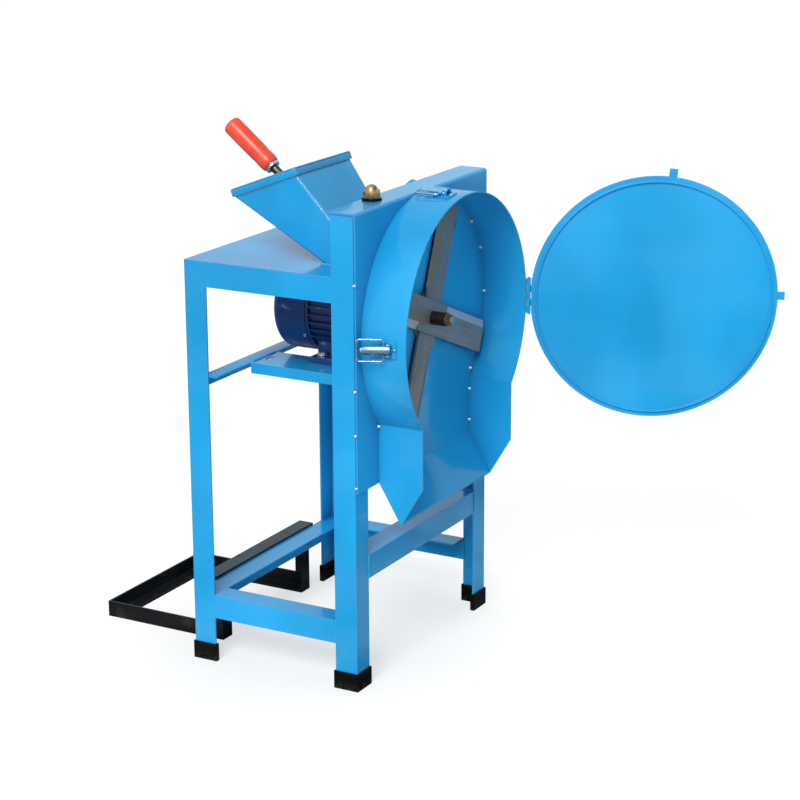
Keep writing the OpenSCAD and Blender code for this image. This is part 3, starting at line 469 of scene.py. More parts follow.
def motor_paint(name, paint):
    """Satin navy over castings: fine grain, scuffs down to primer, painted shade in its gaps and between its
    fins, and pale edges.
    """
    colour = tuple(paint.navy)
    finish = Finish(name, Coat_Weight=0.25, Coat_Roughness=0.2, Specular_IOR_Level=0.45)
    clouds = finish.noise(14.0, 3.0)
    base = finish.mix(shaded(colour, 0.75), shaded(colour, 1.3), clouds)
    scuffs = finish.span(finish.noise(70.0, 6.0, (1, 2.2, 1)), 0.63, 0.7)
    base = finish.mix(base, PRIMER, scuffs * 0.55)
    # Painted shade: near black in the narrow gaps and between the fins
    base = finish.mix(base, NAVY_SHADE, finish.span(finish.closed_in(14), 0.4, 0.8))
    rounded = finish.rounded(0.8)
    base = finish.mix(base, WORN_NAVY, finish.edges(rounded, 2.0) * 0.45)
    roughness = finish.noise(40.0, 4.0) * 0.2 + 0.3
    grain = finish.bump(finish.noise(600.0, 3.0), 0.12, rounded)
    finish.feed(Base_Color=base, Roughness=roughness, Normal=grain)


def black_paint(name, paint):
    """Satin black paint with grey rubs along its edges and floor dust."""
    colour = tuple(paint.black)
    finish = Finish(name, Coat_Weight=0.1, Coat_Roughness=0.25, Specular_IOR_Level=0.15)
    base = finish.mix(colour, shaded(colour, 1.8), finish.noise(12.0, 4.0))
    rounded = finish.rounded(1.2)
    base = finish.mix(base, WORN_BLACK, finish.edges(rounded, 2.0) * 0.35)
    dust = finish.span(finish.noise(30.0, 6.0), 0.56, 0.85)
    base = finish.mix(base, tuple(paint.dust), dust * 0.12)
    finish.feed(
        Base_Color=base,
        Roughness=finish.noise(45.0, 4.0) * 0.22 + 0.2 + dust * 0.3,
        Normal=finish.bump(finish.noise(380.0, 2.0), 0.06, rounded),
    )


def rubber(name, paint):
    """Moulded rubber, matt and dusty, paler where it scrapes the floor."""
    finish = Finish(name, Specular_IOR_Level=0.06, IOR=1.5)
    base = finish.mix((0.002, 0.002, 0.002), (0.007, 0.006, 0.005), finish.noise(55.0, 5.0))
    scraped = finish.span(finish.height(), 0.014, 0.0) * finish.span(finish.noise(90.0, 4.0), 0.4, 0.65)
    base = finish.mix(base, tuple(paint.dust), scraped * 0.12)
    finish.feed(
        Base_Color=base,
        Roughness=finish.noise(80.0, 3.0) * 0.25 + 0.5,
        Normal=finish.bump(finish.noise(900.0, 2.0), 0.08, finish.rounded(1.6)),
    )


def plastic(name, low, high, rough, grain):
    """Moulded plastic with a fine grain and slight handling shine."""
    finish = Finish(name, Specular_IOR_Level=0.45, IOR=1.48)
    handled = finish.span(finish.noise(32.0, 4.0), 0.35, 0.7)
    finish.feed(
        Base_Color=finish.mix(low, high, handled),
        Roughness=finish.noise(60.0, 4.0) * 0.18 + rough,
        Normal=finish.bump(finish.noise(grain, 3.0), 0.08, finish.rounded(0.7)),
    )


def ground_steel(name, turn, stain, bright):
    """A blade's flat bar, turned about y: rolled streaks along it, stains, and ground bevels and edges."""
    finish = Finish(name, Metallic=0.55, Specular_IOR_Level=0.3)
    along = (0, turn, 0)
    streaks = finish.noise(240.0, 5.0, (26.0, 1.0, 1.0), along)
    stains = finish.span(finish.noise(17.0, 5.0, (2.4, 1, 1), along), 0.4, 0.72)
    base = finish.mix((0.19, 0.175, 0.16), (0.42, 0.4, 0.38), streaks)
    base = finish.mix(base, OIL_STAIN, stains * stain)
    true = finish.node("ShaderNodeNewGeometry", {}, {}, "Normal")
    lean = finish.node("ShaderNodeSeparateXYZ", {}, {"Vector": true}, "Y")
    bevel = finish.span(lean, -0.99, -0.97) * finish.span(lean, 0.0, -0.5)
    base = finish.mix(base, bright, bevel * 0.75)
    rounded = finish.rounded(0.5)
    base = finish.mix(base, GROUND_EDGE, finish.edges(rounded, 2.0) * 0.8)
    finish.feed(
        Base_Color=base,
        Roughness=streaks * 0.22 + 0.3 + stains * 0.14,
        Normal=finish.bump(streaks, 0.05, rounded),
    )


def plated(name, low, high, rough, dark=0.0, grain=0.03):
    """Plated or bare metal: soft cloudy tone, fine scratches, and dark stains where asked."""
    finish = Finish(name, Metallic=1.0)
    base = finish.mix(low, high, finish.noise(85.0, 4.0))
    scratches = finish.noise(500.0, 4.0, (1, 14, 1), (0.4, 0, 0.6))
    stains = finish.span(finish.noise(120.0, 5.0), 0.5, 0.68)
    base = finish.mix(base, TARNISH, stains * dark)
    finish.feed(
        Base_Color=base,
        Roughness=scratches * 0.2 + rough + stains * (0.3 * dark),
        Normal=finish.bump(scratches, grain, finish.rounded(0.4)),
    )


def wound_copper(name):
    """Varnished copper windings, their turns as fine ridges round the bore."""
    finish = Finish(name, Metallic=0.55, Coat_Weight=0.4, Coat_Roughness=0.2)
    turns = finish.node(
        "ShaderNodeTexWave",
        {"wave_type": "RINGS", "rings_direction": "Y"},
        {"Vector": finish.place, "Scale": 180.0, "Distortion": 3.0, "Detail": 2.0},
        "Fac",
    )
    finish.feed(
        Base_Color=finish.mix((0.2, 0.05, 0.012), (0.72, 0.3, 0.09), turns),
        Roughness=turns * 0.2 + 0.25,
        Normal=finish.bump(turns, 0.4),
    )


def laminated_steel(name):
    """Stacked core sheets, seen as fine lines across the shaft."""
    finish = Finish(name, Metallic=0.85)
    sheets = finish.node(
        "ShaderNodeTexWave",
        {"wave_type": "BANDS", "bands_direction": "Y"},
        {"Vector": finish.place, "Scale": 320.0, "Distortion": 0.4},
        "Fac",
    )
    finish.feed(
        Base_Color=finish.mix((0.12, 0.12, 0.13), (0.4, 0.4, 0.42), sheets),
        Roughness=sheets * 0.2 + 0.35,
        Normal=finish.bump(sheets, 0.1),
    )


NODE_FINISHES = {
    "sheet_paint": (
        "front_panel", "table_top", "lid", "drum_ring", "chute_left", "chute_right", "chute_deflector",
    ),
    "folded_paint": ("feed_hopper",),
    "frame_paint": (
        "leg_front_left", "leg_front_right", "leg_rear_left", "leg_rear_right",
        "top_rail_left", "top_rail_right", "top_rail_rear", "small_inlet",
        "bottom_rail_left", "bottom_rail_right", "bottom_rail_rear", "bottom_rail_front",
        "cross_rail", "motor_rail_left", "motor_rail_right", "lid_catches",
        "hinge_drum_leaf", "hinge_lid_leaf", "hinge_pin", "latch_left_base", "latch_top_base",
    ),
    "motor_paint": ("motor_frame", "motor_front_shield", "motor_rear_shield", "fan_cowl", "terminal_box"),
    "bracket_paint": ("bracket_frame",),
    "boot_rubber": ("rubber_feet", "flange_washer"),
    "moulded_black": ("motor_fan", "cable_gland", "pusher_head"),
    "front_blade_steel": ("blade_front",),
    "rear_blade_steel": ("blade_rear", "blade_hub"),
    "oiled_steel": ("clamp_collar", "pusher_rod"),
    "zinc_plate": ("hex_bolts", "pusher_ferrule"),
    "latch_plate_blue_reflection": ("latch_left_lever", "latch_left_bail", "latch_top_lever", "latch_top_bail"),
    "old_brass": ("flange_nut", "shaft_nut"),
    "turned_steel": ("motor_shaft", "bearing_front", "bearing_rear"),
    "core_sheets": ("stator_core", "rotor_core"),
    "copper_winding": ("stator_winding",),
    "grip_plastic": ("pusher_grip",),
}


# Sizes and colours that a user may change


class PaintSettings(bpy.types.PropertyGroup):
    """Colours and gloss of the machine's paints."""

    blue: bpy.props.FloatVectorProperty(
        name="Blue", description="Colour of the machine's paint", subtype="COLOR", size=3,
        min=0.0, max=1.0, default=(0.012, 0.33, 0.7),
    )
    navy: bpy.props.FloatVectorProperty(
        name="Navy", description="Colour of the motor's paint", subtype="COLOR", size=3,
        min=0.0, max=1.0, default=(0.007, 0.049, 0.2),
    )
    black: bpy.props.FloatVectorProperty(
        name="Black", description="Colour of the stand bracket's paint", subtype="COLOR", size=3,
        min=0.0, max=1.0, default=(0.004, 0.004, 0.005),
    )
    dust: bpy.props.FloatVectorProperty(
        name="Dust", description="Colour of the dust near the floor", subtype="COLOR", size=3,
        min=0.0, max=1.0, default=(0.3, 0.25, 0.2),
    )
    coat: bpy.props.FloatProperty(
        name="Coat", description="Share of clear gloss over the blue", subtype="FACTOR",
        min=0.0, max=1.0, default=0.45,
    )
    edge_radius: bpy.props.FloatProperty(
        name="Edge radius", description="Rounding of painted edges, in millimetres",
        min=0.2, max=3.0, default=1.1,
    )


class WeldSettings(bpy.types.PropertyGroup):
    """Sizes of the weld beads and tacks, in millimetres."""

    width: bpy.props.FloatProperty(
        name="Width", description="Width of a weld bead", min=2.0, max=10.0, default=5.0,
    )
    pitch: bpy.props.FloatProperty(
        name="Pitch", description="Step of its ripples", min=1.0, max=6.0, default=2.6,
    )
    height: bpy.props.FloatProperty(
        name="Height", description="Height of a bead", min=0.5, max=4.0, default=1.7,
    )
    tack: bpy.props.FloatProperty(
        name="Tack", description="Radius of a tack weld", min=1.0, max=6.0, default=3.2,
    )


class LatchSettings(bpy.types.PropertyGroup):
    """Sizes of a draw latch, in millimetres and degrees."""

    left: bpy.props.FloatProperty(
        name="Left", description="Angle of the left latch round the drum", default=180.0,
    )
    top: bpy.props.FloatProperty(
        name="Top", description="Angle of the top latch round the drum", default=97.0,
    )
    lever: bpy.props.FloatProperty(
        name="Lever", description="Width of a lever", min=12.0, max=23.4, default=14.0,
    )
    swing: bpy.props.FloatProperty(
        name="Swing", description="How far the left lever stands off", default=25.0,
    )
    sheet: bpy.props.FloatProperty(
        name="Sheet", description="Thickness of its sheet", min=1.0, max=2.0, default=1.4,
    )
    wire: bpy.props.FloatProperty(
        name="Wire", description="Radius of the bail's wire", min=1.0, max=1.6, default=1.5,
    )
    corner: bpy.props.FloatProperty(
        name="Corner", description="Radius of the bail's bends", min=3.0, max=9.0, default=5.0,
    )


class StageSettings(bpy.types.PropertyGroup):
    """Camera, lights and floor."""

    place: bpy.props.FloatVectorProperty(
        name="Camera", description="Place of the camera", subtype="TRANSLATION", unit="LENGTH", size=3,
        default=at(-3168, -1719, 1478),
    )
    azimuth: bpy.props.FloatProperty(
        name="Azimuth", description="Side that the camera is on", default=-60.94,
    )
    pitch: bpy.props.FloatProperty(
        name="Pitch", description="How far the camera looks down", default=16.16,
    )
    roll: bpy.props.FloatProperty(
        name="Roll", description="Lean of the camera", default=-0.27,
    )
    lens: bpy.props.FloatProperty(
        name="Lens", description="Focal length", subtype="DISTANCE_CAMERA", default=102.3,
    )
    sun: bpy.props.FloatProperty(
        name="Sun", description="Light from the left, as a share of white", default=0.96,
    )
    sky: bpy.props.FloatProperty(
        name="Sky", description="Light from all round, as a share of white", default=0.38,
    )
    floor: bpy.props.FloatVectorProperty(
        name="Floor", description="Colour of the floor", subtype="COLOR", size=3,
        min=0.0, max=1.0, default=(0.8, 0.8, 0.81),
    )


# Operators, one for each group of pieces


class ShredderPaint(bpy.types.Operator):
    """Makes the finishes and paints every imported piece"""

    bl_idname = "shredder.paint"
    bl_label = "Paint the packed pieces"

    def execute(self, context):
        paint = context.scene.shredder_paint
        sprayed_paint("sheet_paint", paint, wave_and_reflection=0.45)
        sprayed_paint("frame_paint", paint, wave_and_reflection=0.12)
        sprayed_paint("folded_paint", paint, wave_and_reflection=0.45, fold=9)
        motor_paint("motor_paint", paint)
        black_paint("bracket_paint", paint)
        rubber("boot_rubber", paint)
        plastic("moulded_black", (0.012, 0.012, 0.013), (0.03, 0.03, 0.032), rough=0.42, grain=700.0)
        plastic("grip_plastic", (0.78, 0.055, 0.03), (0.9, 0.1, 0.055), rough=0.22, grain=260.0)
        ground_steel("front_blade_steel", math.radians(22), stain=0.45, bright=(0.6, 0.62, 0.66))
        ground_steel("rear_blade_steel", math.radians(-68), stain=0.5, bright=(0.24, 0.2, 0.17))
        plated("weld_metal", (0.6, 0.66, 0.72), (0.86, 0.9, 0.94), rough=0.35)
        plated("zinc_plate", (0.55, 0.56, 0.58), (0.82, 0.83, 0.85), rough=0.16)
        # The latches' metal is tinted blue as a painted reflection of the machine's blue paint
        plated("latch_plate_blue_reflection", (0.2, 0.46, 0.66), (0.46, 0.72, 0.88), rough=0.16, grain=0.006)
        plated("turned_steel", (0.4, 0.4, 0.41), (0.62, 0.62, 0.63), rough=0.22)
        plated("oiled_steel", (0.04, 0.034, 0.03), (0.14, 0.11, 0.09), rough=0.3, dark=0.5)
        plated("old_brass", (0.34, 0.18, 0.07), (0.78, 0.5, 0.26), rough=0.2, dark=0.8)
        laminated_steel("core_sheets")
        wound_copper("copper_winding")
        for finish, nodes in NODE_FINISHES.items():
            for node in nodes:
                NODES[node].material_slots[0].material = FINISHES[finish]
        return {"FINISHED"}


class ShredderWelds(bpy.types.Operator):
    """Lays rippled weld beads where rails meet legs, rails meet the panel, and the hopper meets the table"""

    bl_idname = "shredder.welds"
    bl_label = "Weld beads"

    def execute(self, context):
        weld = context.scene.shredder_weld
        for name, seams, slot, finish in (
            ("weld_beads", self.blue_seams(), "blue_paint", "frame_paint"),
            ("bracket_welds", self.bracket_seams(), "black_paint", "bracket_paint"),
        ):
            beads = [self.bead(weld, at(*start), at(*end), normal) for start, end, normal in seams]
            finished(joined(beads), name, "frame", finish, 60)
        return {"FINISHED"}

    def upright(self, x, y, low, high, normal):
        """A seam that stands at a place: its two ends and the way that its bead faces."""
        return (x, y, low), (x, y, high), normal

    def blue_seams(self):
        """The seams of rails, legs and hopper: for each its two ends and the way that its bead faces."""
        seams = []
        for side in (-1, 1):
            wall = side * LEG_WALL
            edge = side * LEG_EDGE
            for y in (42.5, 276):
                seams.append(self.upright(wall, y, 80, 113, (-side, 0, 0)))
            seams.append(self.upright(edge, REAR_FACE, 80, 115, (0, 1, 0)))
            seams.append(self.upright(edge, 2.2, 186, 220, (0, -1, 0)))
            inset, rail_top = side * 184.5, 222.8
            seams.append(((inset, 8, rail_top), (inset, 38, rail_top), (-side * 0.3, 0, 1)))
            cross_end, cross_top = side * 221, 496
            seams.append(((cross_end, 262, cross_top), (cross_end, 288, cross_top), (-side, 0, 1)))
            near, far = SHAFT_X + side * 52, SHAFT_X + side * 122
            for y, lean in ((3.4, (0, 1, 1)), (259.4, (0, -1, 1))):
                seams.append(((near, y, MOTOR_RAIL_TOP), (far, y, MOTOR_RAIL_TOP), lean))
        seams.append(((-152, 6, TABLE_TOP), (-152, 102, TABLE_TOP), (-1, 0, 1)))
        seams.append(((-148, 104, TABLE_TOP), (-30, 104, TABLE_TOP), (0, 1, 1)))
        return seams

    def bracket_seams(self):
        """The seams of the bracket: at its far corners, along its feet and up its plates."""
        seams = []
        for side in (-1, 1):
            seams.append(((side * 115, 531, 3.2), (side * 115, 554, 3.2), (0, 0, 1)))
            seams.append(((side * 139, 320, 30), (side * 139, 341, 30), (-side, 0, 1)))
            seams.append(self.upright(side * 142.8, 319, 95, 117, (side, 0, 0)))
        return seams

    def bead(self, weld, start, end, normal):
        """Overlapping flattened drops from one point to another."""
        drop = added(
            bpy.ops.mesh.primitive_uv_sphere_add, segments=12, ring_count=8, radius=weld.width / 2 * MM
        )
        moved(drop, Matrix.Diagonal((0.8, 1, 2 * weld.height / weld.width, 1)))
        length = (end - start).length
        count = max(2, round(length / (weld.pitch * MM)))
        modified(
            drop, "ARRAY", count=count, use_relative_offset=False, use_constant_offset=True,
            constant_offset_displace=(length / (count - 1), 0, 0),
        )
        return moved(drop, facing(start, normal, end - start))


class ShredderTacks(bpy.types.Operator):
    """Sets round tack welds along the panel's seams and inside the drum"""

    bl_idname = "shredder.tacks"
    bl_label = "Tack welds"

    def execute(self, context):
        radius = context.scene.shredder_weld.tack
        dot = turned([(0, radius), (0.6, radius * 0.95), (1.3, radius * 0.7), (1.7, radius * 0.25)], sides=16)
        places = []
        for side in (-1, 1):
            for z in (674, 504, 432, 345):
                places.append((at(side * PANEL_EDGE, 1.6, z), (side * 0.5, -1, 0)))
        for x, z in ((165, 706), (198, 655), (213, 576), (163, 451), (160, 415), (160, 360)):
            places.append((at(x, DRUM_FLOOR, z), (-0.6, -0.8, 0)))
            places.append((at(2 * SHAFT_X - x, DRUM_FLOOR, z), (0.6, -0.8, 0)))
        for side in (-1, 1):
            places.append((at(SHAFT_X + side * 160, DRUM_FLOOR, 430), (side, -0.6, 0)))
        dots = copies(dot, [facing(point, normal) for point, normal in places])
        finished(dots, "tack_welds", "frame", "weld_metal", 60)
        return {"FINISHED"}


class ShredderLatches(bpy.types.Operator):
    """Models the crowned levers, bent wire bails and rivets of the two draw latches"""

    bl_idname = "shredder.latches"
    bl_label = "Draw latches"

    def execute(self, context):
        latch = context.scene.shredder_latch
        for side, angle, swing in (("left", latch.left, latch.swing), ("top", latch.top, 0)):
            place = round_shaft(angle)
            pin = Matrix.Translation(Vector((*LATCH_PIN, 0)) * MM)
            swung = place @ pin @ Matrix.Rotation(math.radians(-swing), 4, "Z") @ pin.inverted()
            lever = moved(self.lever(latch), swung)
            finished(lever, f"{side}_lever_pressing", f"{side}_lever", "latch_plate_blue_reflection", 50)
            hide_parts(f"latch_{side}_lever")
            bail = moved(self.bail(latch), swung)
            finished(bail, f"{side}_bail_wire", f"{side}_bail", "latch_plate_blue_reflection", 60)
            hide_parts(f"latch_{side}_bail")
            rivet = turned([(-0.5, 2.6), (0.3, 2.6), (1.1, 2.0), (1.5, 0.8)], sides=20)
            places = [place @ facing(Vector((214, y, 0)) * MM, (1, 0, 0)) for y in (-59.5, -38.5)]
            for end in (-1, 1):
                head = Vector((*LATCH_PIN, end * (latch.lever / 2 + 2.3))) * MM
                places.append(place @ facing(head, (0, 0, end)))
            finished(copies(rivet, places), f"{side}_latch_rivets", "frame", "latch_plate_blue_reflection", 40)
        return {"FINISHED"}

    def lever(self, latch):
        """A pressed lever: a strip crowned across its width, with cheeks and a thumb end that curls up."""
        strip = added(bpy.ops.mesh.primitive_grid_add, x_subdivisions=12, y_subdivisions=12, size=1)
        half = latch.lever / 2
        front, length, crest = -54.5, 46, 222.7
        curl_from, cheek_end, cheek_height = 0.78, -22, 3.2
        for vertex in strip.data.vertices:
            across, along = vertex.co.x * 2, vertex.co.y + 0.5
            y = front + length * along
            crown = crest - 1.2 * across**4 - 1.6 * across**2
            curl = max(0.0, along - curl_from) / 0.22
            taper = 1 - 0.16 * curl**2
            vertex.co = Vector((crown + 3.2 * curl**1.5, y, across * half * taper)) * MM
        with Editing(strip) as edit:
            for side in (-1, 1):
                edit.pick(lambda co, side=side: co.z * side > half - 0.05 and co.y < cheek_end)
                bpy.ops.mesh.extrude_region_move(TRANSFORM_OT_translate={"value": (-cheek_height * MM, 0, 0)})
        modified(strip, "SOLIDIFY", thickness=latch.sheet * MM, offset=-1.0)
        return modified(strip, "BEVEL", width=0.35 * MM, segments=2, limit_method="ANGLE")

    def bail(self, latch):
        """A wire bent into a square loop, its ends turned in through the lever's cheeks."""
        r, x = latch.corner, LATCH_PIN[0]
        near, far, half = -44, -2.5, 17.5
        stub = half - latch.lever / 2 + 2
        return bent_wire(
            latch.wire, (x, near, half - stub), (0, 0, 0),
            [
                ((0, 0, stub - r),),
                ((x, near + r, half - r), (1, 0, 0), -90),
                ((0, far - near - 2 * r, 0),),
                ((x, far - r, half - r), (1, 0, 0), -90),
                ((0, 0, 2 * r - 2 * half),),
                ((x, far - r, r - half), (1, 0, 0), -90),
                ((0, near - far + 2 * r, 0),),
                ((x, near + r, r - half), (1, 0, 0), -90),
                ((0, 0, stub - r),),
            ],
        )


class ShredderSheets(bpy.types.Operator):
    """Models the lid with its low round lip, and the angle iron across the motor's rails"""

    bl_idname = "shredder.sheets"
    bl_label = "Lid and cross rail"

    def execute(self, context):
        lid = turned(
            [
                (0, 208.4), (0.5, 209), (2, 209), (2.5, 208.5), (2.5, 201.6), (3.2, 200.9), (6.2, 200.7),
                (6.7, 200.2), (6.7, 198.8), (6.2, 198.3), (3.2, 198.1), (2.5, 197.4),
            ],
            sides=160,
        )
        middle = Matrix.Translation(at(SHAFT_X + 2, LID_FACE, SHAFT_Z - 3))
        moved(lid, middle @ Matrix.Rotation(math.radians(-90), 4, "X"))
        hinge_notch = (6, 12, 60)
        self.cut(lid, hinge_notch, at(218.2, -80.5, SHAFT_Z))
        moved(lid, opened(Matrix.Identity(4)))
        finished(lid, "lid_pressing", "lid_door", "sheet_paint", 30)
        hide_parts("lid")
        rail = moved(block(CROSS_RAIL, 0.8), Matrix.Translation(at(*CROSS_MIDDLE)))
        under_angle = (460, 60, 40)
        self.cut(rail, under_angle, at(0, 256, 472.6))
        finished(rail, "cross_angle", "frame", "frame_paint", 30)
        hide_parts("cross_rail")
        return {"FINISHED"}

    def cut(self, piece, size, middle):
        """Takes a box out of a piece."""
        tool = moved(block(size, 0.4), Matrix.Translation(middle))
        modified(piece, "BOOLEAN", object=tool, operation="DIFFERENCE")
        bpy.data.objects.remove(tool)


class ShredderPusher(bpy.types.Operator):
    """Turns the pusher's grip with its rounded end and neck, and its ringed ferrule"""

    bl_idname = "shredder.pusher"
    bl_label = "Pusher grip"

    def execute(self, context):
        slope = math.radians(39)
        down = Vector((0, -math.cos(slope), -math.sin(slope)))
        top = at(-68, 324, 881)
        grip_length = 102
        grip = turned(
            [
                (0.3, 8.0), (0.8, 11.4), (2.0, 13.6), (4.0, 15.2), (7.0, 15.9), (30, 16.0), (55, 15.9),
                (72, 15.7), (76, 15.2), (78, 15.0), (80, 15.2), (84, 15.6), (90, 15.7), (95, 15.4),
                (99, 14.5), (101.4, 13.2), (grip_length, 12.4),
            ],
            sides=48,
        )
        finished(moved(grip, facing(top, down)), "grip_moulding", "pusher", "grip_plastic", 50)
        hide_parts("pusher_grip")
        ferrule = turned(
            [
                (0, 12.2), (0.5, 13.0), (1.8, 13.0), (2.3, 12.5), (2.9, 12.5), (3.4, 12.9), (4.4, 12.4),
                (5, 11.2),
            ],
            sides=40,
        )
        place = facing(top + grip_length * MM * down, down)
        finished(moved(ferrule, place), "ferrule_cap", "pusher", "zinc_plate", 40)
        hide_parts("pusher_ferrule")
        return {"FINISHED"}


class ShredderFastenings(bpy.types.Operator):
    """Models the brass nuts, washers, screws and the terminal box's cover"""

    bl_idname = "shredder.fastenings"
    bl_label = "Nuts, washers and screws"

    def execute(self, context):
        self.flange_nut()
        self.shaft_nut()
        self.washers()
        self.motor_screws()
        self.hinge_screws()
        return {"FINISHED"}

    def flange_nut(self):
        """A hexagon with chamfers under a domed cap."""
        hexagon = turned([(3, 14.4), (4.2, 15.6), (14.6, 15.6), (16.2, 13.8)], sides=6)
        dome = turned(
            [(15, 11.2), (17, 11.2), (17.8, 10.2), (20, 9.3), (22.8, 7.1), (24.6, 4.2), (25.4, 1.3)]
        )
        nut = joined([hexagon, dome])
        modified(nut, "BEVEL", width=0.4 * MM, segments=2, limit_method="ANGLE")
        place = Matrix.Translation(at(-112, 33, PANEL_TOP))
        finished(moved(nut, place), "cap_nut", "frame", "old_brass", 40)
        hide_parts("flange_nut")

    def shaft_nut(self):
        """The nut on the shaft's end, chamfered at both faces, and the clamp collar's two screws."""
        hexagon = turned([(0, 8.4), (0.9, 9.2), (10.1, 9.2), (11, 8.2), (11, 6.8), (10.4, 6.2)], sides=6)
        place = facing(at(SHAFT_X, -39, SHAFT_Z), (0, -1, 0))
        finished(moved(hexagon, place), "shaft_end_nut", "rotor", "old_brass", 25)
        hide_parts("shaft_nut")
        screw = turned([(-1, 2.9), (1.0, 2.9), (1.3, 2.5), (1.3, 1.5), (0.2, 1.3)], sides=24)
        collar = SHAFT + Vector((0, -26, 0)) * MM
        ways = [Vector(way) for way in ((-0.6, 0, 0.8), (0.8, 0, 0.6))]
        places = [facing(collar + way * 11.5 * MM, way) for way in ways]
        finished(copies(screw, places), "collar_screws", "rotor", "oiled_steel", 30)

    def washers(self):
        """A washer under the head and another at the nut of each motor bolt, one on each bracket bolt."""
        washer = turned([(0, 9.4), (0.2, 9.7), (1.2, 9.7), (1.5, 9.3)], sides=28)
        foot_top, rail_under = 505.6, 492.6
        places = []
        for side in (-1, 1):
            for y in FOOT_BOLT_ROWS:
                x = SHAFT_X + side * FOOT_BOLT_X
                places.append(facing(at(x, y, foot_top), (0, 0, 1)))
                places.append(facing(at(x, y, rail_under), (0, 0, -1)))
            places.append(facing(at(side * 128.5, 319, 97), (0, 1, 0)))
        finished(copies(washer, places), "bolt_washers", "frame", "zinc_plate", 30)

    def motor_screws(self):
        """Cowl screws, shield bolts, and the terminal box's cover with its four screws."""
        screw = turned([(-0.6, 3.6), (0.4, 3.7), (1.6, 3.1), (2.1, 1.8), (1.3, 1.4)], sides=20)
        cowl = facing(Vector((77, 191, 0)) * MM, (1, 0, 0))
        places = [round_shaft(angle) @ cowl for angle in (30, 150, 210, 330)]
        for y in (83, 157):
            for z in (-30, 30):
                places.append(facing(at(SHAFT_X + 120, y, SHAFT_Z + z), (1, 0, 0)))
        finished(copies(screw, places), "cover_screws", "frame", "zinc_plate", 40)
        bolt = turned([(0, 5.2), (0.4, 5.6), (3.4, 5.6), (4, 4.9)], sides=6)
        shield = facing(Vector((62, 15, 0)) * MM, (0, -1, 0))
        places = [round_shaft(angle) @ shield for angle in (45, 135, 225, 315)]
        finished(copies(bolt, places), "shield_bolts", "frame", "zinc_plate", 30)
        cover = block((2.4, 92, 78), 1.1)
        place = Matrix.Translation(at(SHAFT_X + 119.2, 120, SHAFT_Z))
        finished(moved(cover, place), "box_cover", "frame", "motor_paint", 40)

    def hinge_screws(self):
        """Two domed screws in each leaf of the lid's hinge."""
        for name, body, turn, point, normal in (
            ("drum_hinge_screws", "frame", Matrix.Identity(4), (SHAFT_X + 213.6, -60), (1, 0, 0)),
            ("lid_hinge_screws", "lid_door", opened(Matrix.Identity(4)), (203, -83.7), (0, -1, 0)),
        ):
            screw = turned([(-0.4, 3.4), (0.5, 3.4), (1.4, 2.6), (1.8, 1.2)], sides=20)
            places = [turn @ facing(at(*point, SHAFT_Z + z), normal) for z in (-20, 20)]
            finished(copies(screw, places), name, body, "zinc_plate", 40)


class ShredderHopperRim(bpy.types.Operator):
    """Rolls a thin hem round the edge of the hopper's mouth"""

    bl_idname = "shredder.hopper_rim"
    bl_label = "Hopper rim"

    def execute(self, context):
        left, right, rear, front = -151, 21, 1, -127
        middle = (left + right) / 2
        wire, r = 1.7, 4
        hem = bent_wire(
            wire, (middle, rear, -0.6), (0, 90, 0),
            [
                ((right - r - middle, 0, 0),),
                ((right - r, rear - r, -0.6), (0, 0, 1), -90),
                ((0, front - rear + 2 * r, 0),),
                ((right - r, front + r, -0.6), (0, 0, 1), -90),
                ((left - right + 2 * r, 0, 0),),
                ((left + r, front + r, -0.6), (0, 0, 1), -90),
                ((0, rear - front - 2 * r, 0),),
                ((left + r, rear - r, -0.6), (0, 0, 1), -90),
                ((middle - left - r, 0, 0),),
            ],
            closed=True,
        )
        place = Matrix.Translation(at(0, 270, 789)) @ Matrix.Rotation(math.radians(-20.9), 4, "X")
        finished(moved(hem, place), "mouth_hem", "frame", "frame_paint", 60)
        return {"FINISHED"}


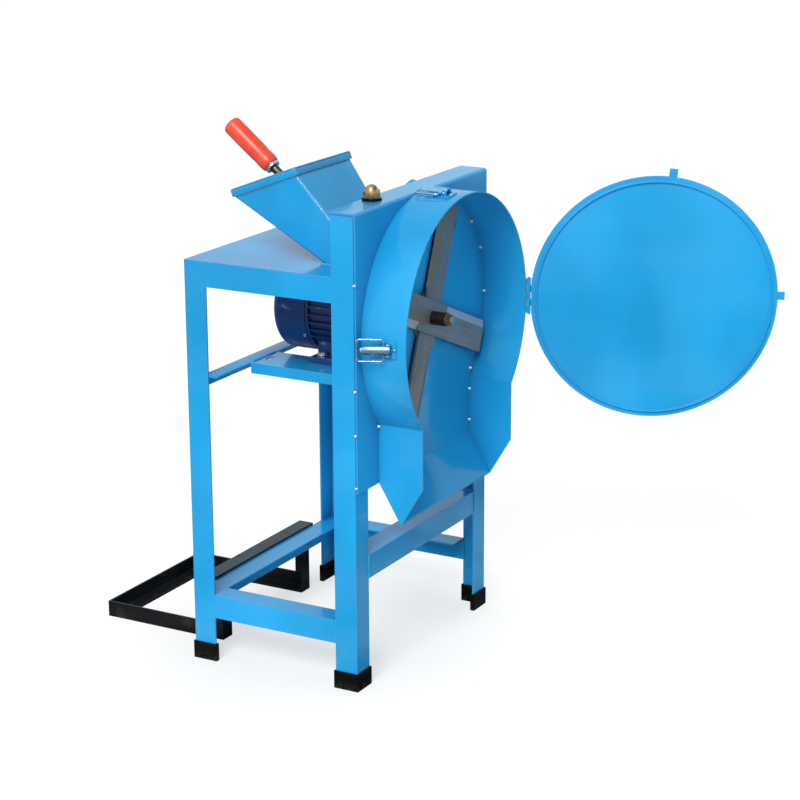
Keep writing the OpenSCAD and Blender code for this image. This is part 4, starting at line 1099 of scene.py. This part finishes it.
class ShredderStage(bpy.types.Operator):
    """Sets the camera, a soft sun from the left, an even sky and a pale floor"""

    bl_idname = "shredder.stage"
    bl_label = "Camera, light and floor"

    def execute(self, context):
        stage = context.scene.shredder_stage
        self.camera(stage)
        self.lights(stage)
        self.floor(stage)
        context.scene.view_settings.view_transform = "Standard"
        return {"FINISHED"}

    def camera(self, stage):
        deselect()
        bpy.ops.object.camera_add(location=stage.place)
        camera = bpy.context.object
        side, down = math.radians(stage.azimuth), math.radians(stage.pitch)
        back = Vector((math.sin(side) * math.cos(down), -math.cos(side) * math.cos(down), math.sin(down)))
        turn = (-back).to_track_quat("-Z", "Y")
        camera.rotation_mode = "QUATERNION"
        camera.rotation_quaternion = turn @ Matrix.Rotation(math.radians(stage.roll), 3, "Z").to_quaternion()
        camera.data.lens = stage.lens
        camera.data.shift_x = SHIFT_RIGHT / PICTURE
        camera.data.shift_y = SHIFT_UP / PICTURE
        bpy.context.scene.camera = camera

    def lights(self, stage):
        deselect()
        bpy.ops.object.light_add(type="SUN")
        sun = bpy.context.object
        sun.rotation_euler = Vector(SUN_WAY).to_track_quat("-Z", "Y").to_euler()
        sun.data.energy = stage.sun * math.pi
        sun.data.angle = math.radians(SUN_WIDTH)
        sun.data.color = SUN_COLOUR
        world = bpy.data.worlds.new("pale_studio")
        world.use_nodes = True
        bpy.context.scene.world = world
        nodes = Nodes(world.node_tree, "Background")
        seen = nodes.ray("Camera")
        mirrored = nodes.maths("MAXIMUM", seen, nodes.ray("Glossy"))
        shown = nodes.maths("MAXIMUM", mirrored, nodes.ray("Transmission"))
        strength = nodes.node("ShaderNodeMapRange", {}, {"Value": shown, "To Min": stage.sky, "To Max": 1.0})
        nodes.feed(Color=nodes.mix(SKY_TINT, (1, 1, 1), seen), Strength=strength)

    def floor(self, stage):
        """A matt plane with a soft shade beneath the stand and soft patches where metal mirrors it."""
        floor = added(bpy.ops.mesh.primitive_plane_add, size=80)
        floor.name = "floor"
        finish = Finish("floor_paint", Roughness=0.85, Specular_IOR_Level=0.2, Emission_Strength=1.0)
        shade = finish.mix(shaded(stage.floor, 0.99), shaded(stage.floor, 1.01), finish.noise(0.8, 2.0))
        patches = finish.span(finish.noise(2.4, 3.0), 0.47, 0.56)
        shade = finish.mix(shade, finish.mix((0.02, 0.02, 0.03), grey(0.7), patches), finish.ray("Glossy"))
        shadow_reach = (0.42, 0.36, 1)
        beneath = finish.span(finish.from_point(at(-10, 190, 0), shadow_reach), 1.0, 0.6)
        seen = finish.ray("Camera")
        finish.feed(
            Base_Color=finish.mix(shade, finish.mix(grey(0.12), grey(0.36), beneath), seen),
            Emission_Color=finish.mix(grey(0), finish.mix(grey(0.92), grey(0.62), beneath), seen),
        )
        floor.data.materials.append(finish.material)


class ShredderPanel(bpy.types.Panel):
    """Lists the shredder's operators and their settings in the sidebar"""

    bl_idname = "SHREDDER_PT_panel"
    bl_label = "Grass shredder"
    bl_space_type = "VIEW_3D"
    bl_region_type = "UI"
    bl_category = "Shredder"

    def draw(self, context):
        for name, kind in SETTINGS.items():
            box = self.layout.box()
            for prop in kind.__annotations__:
                box.prop(getattr(context.scene, name), prop)
        for operator in OPERATORS:
            self.layout.operator(operator.bl_idname)


SETTINGS = {
    "shredder_paint": PaintSettings,
    "shredder_weld": WeldSettings,
    "shredder_latch": LatchSettings,
    "shredder_stage": StageSettings,
}
OPERATORS = (
    ShredderPaint, ShredderStage, ShredderWelds, ShredderTacks, ShredderLatches, ShredderSheets,
    ShredderPusher, ShredderFastenings, ShredderHopperRim,
)


def register():
    for kind in (*SETTINGS.values(), *OPERATORS, ShredderPanel):
        bpy.utils.register_class(kind)
    for name, kind in SETTINGS.items():
        setattr(bpy.types.Scene, name, bpy.props.PointerProperty(type=kind))


def unregister():
    for name in SETTINGS:
        delattr(bpy.types.Scene, name)
    for kind in (ShredderPanel, *reversed(OPERATORS), *SETTINGS.values()):
        bpy.utils.unregister_class(kind)


def main():
    register()
    bpy.ops.shredder.paint()
    bpy.ops.shredder.stage()
    bpy.ops.shredder.welds()
    bpy.ops.shredder.tacks()
    bpy.ops.shredder.latches()
    bpy.ops.shredder.sheets()
    bpy.ops.shredder.pusher()
    bpy.ops.shredder.fastenings()
    bpy.ops.shredder.hopper_rim()


if __name__ == "__main__":
    main()
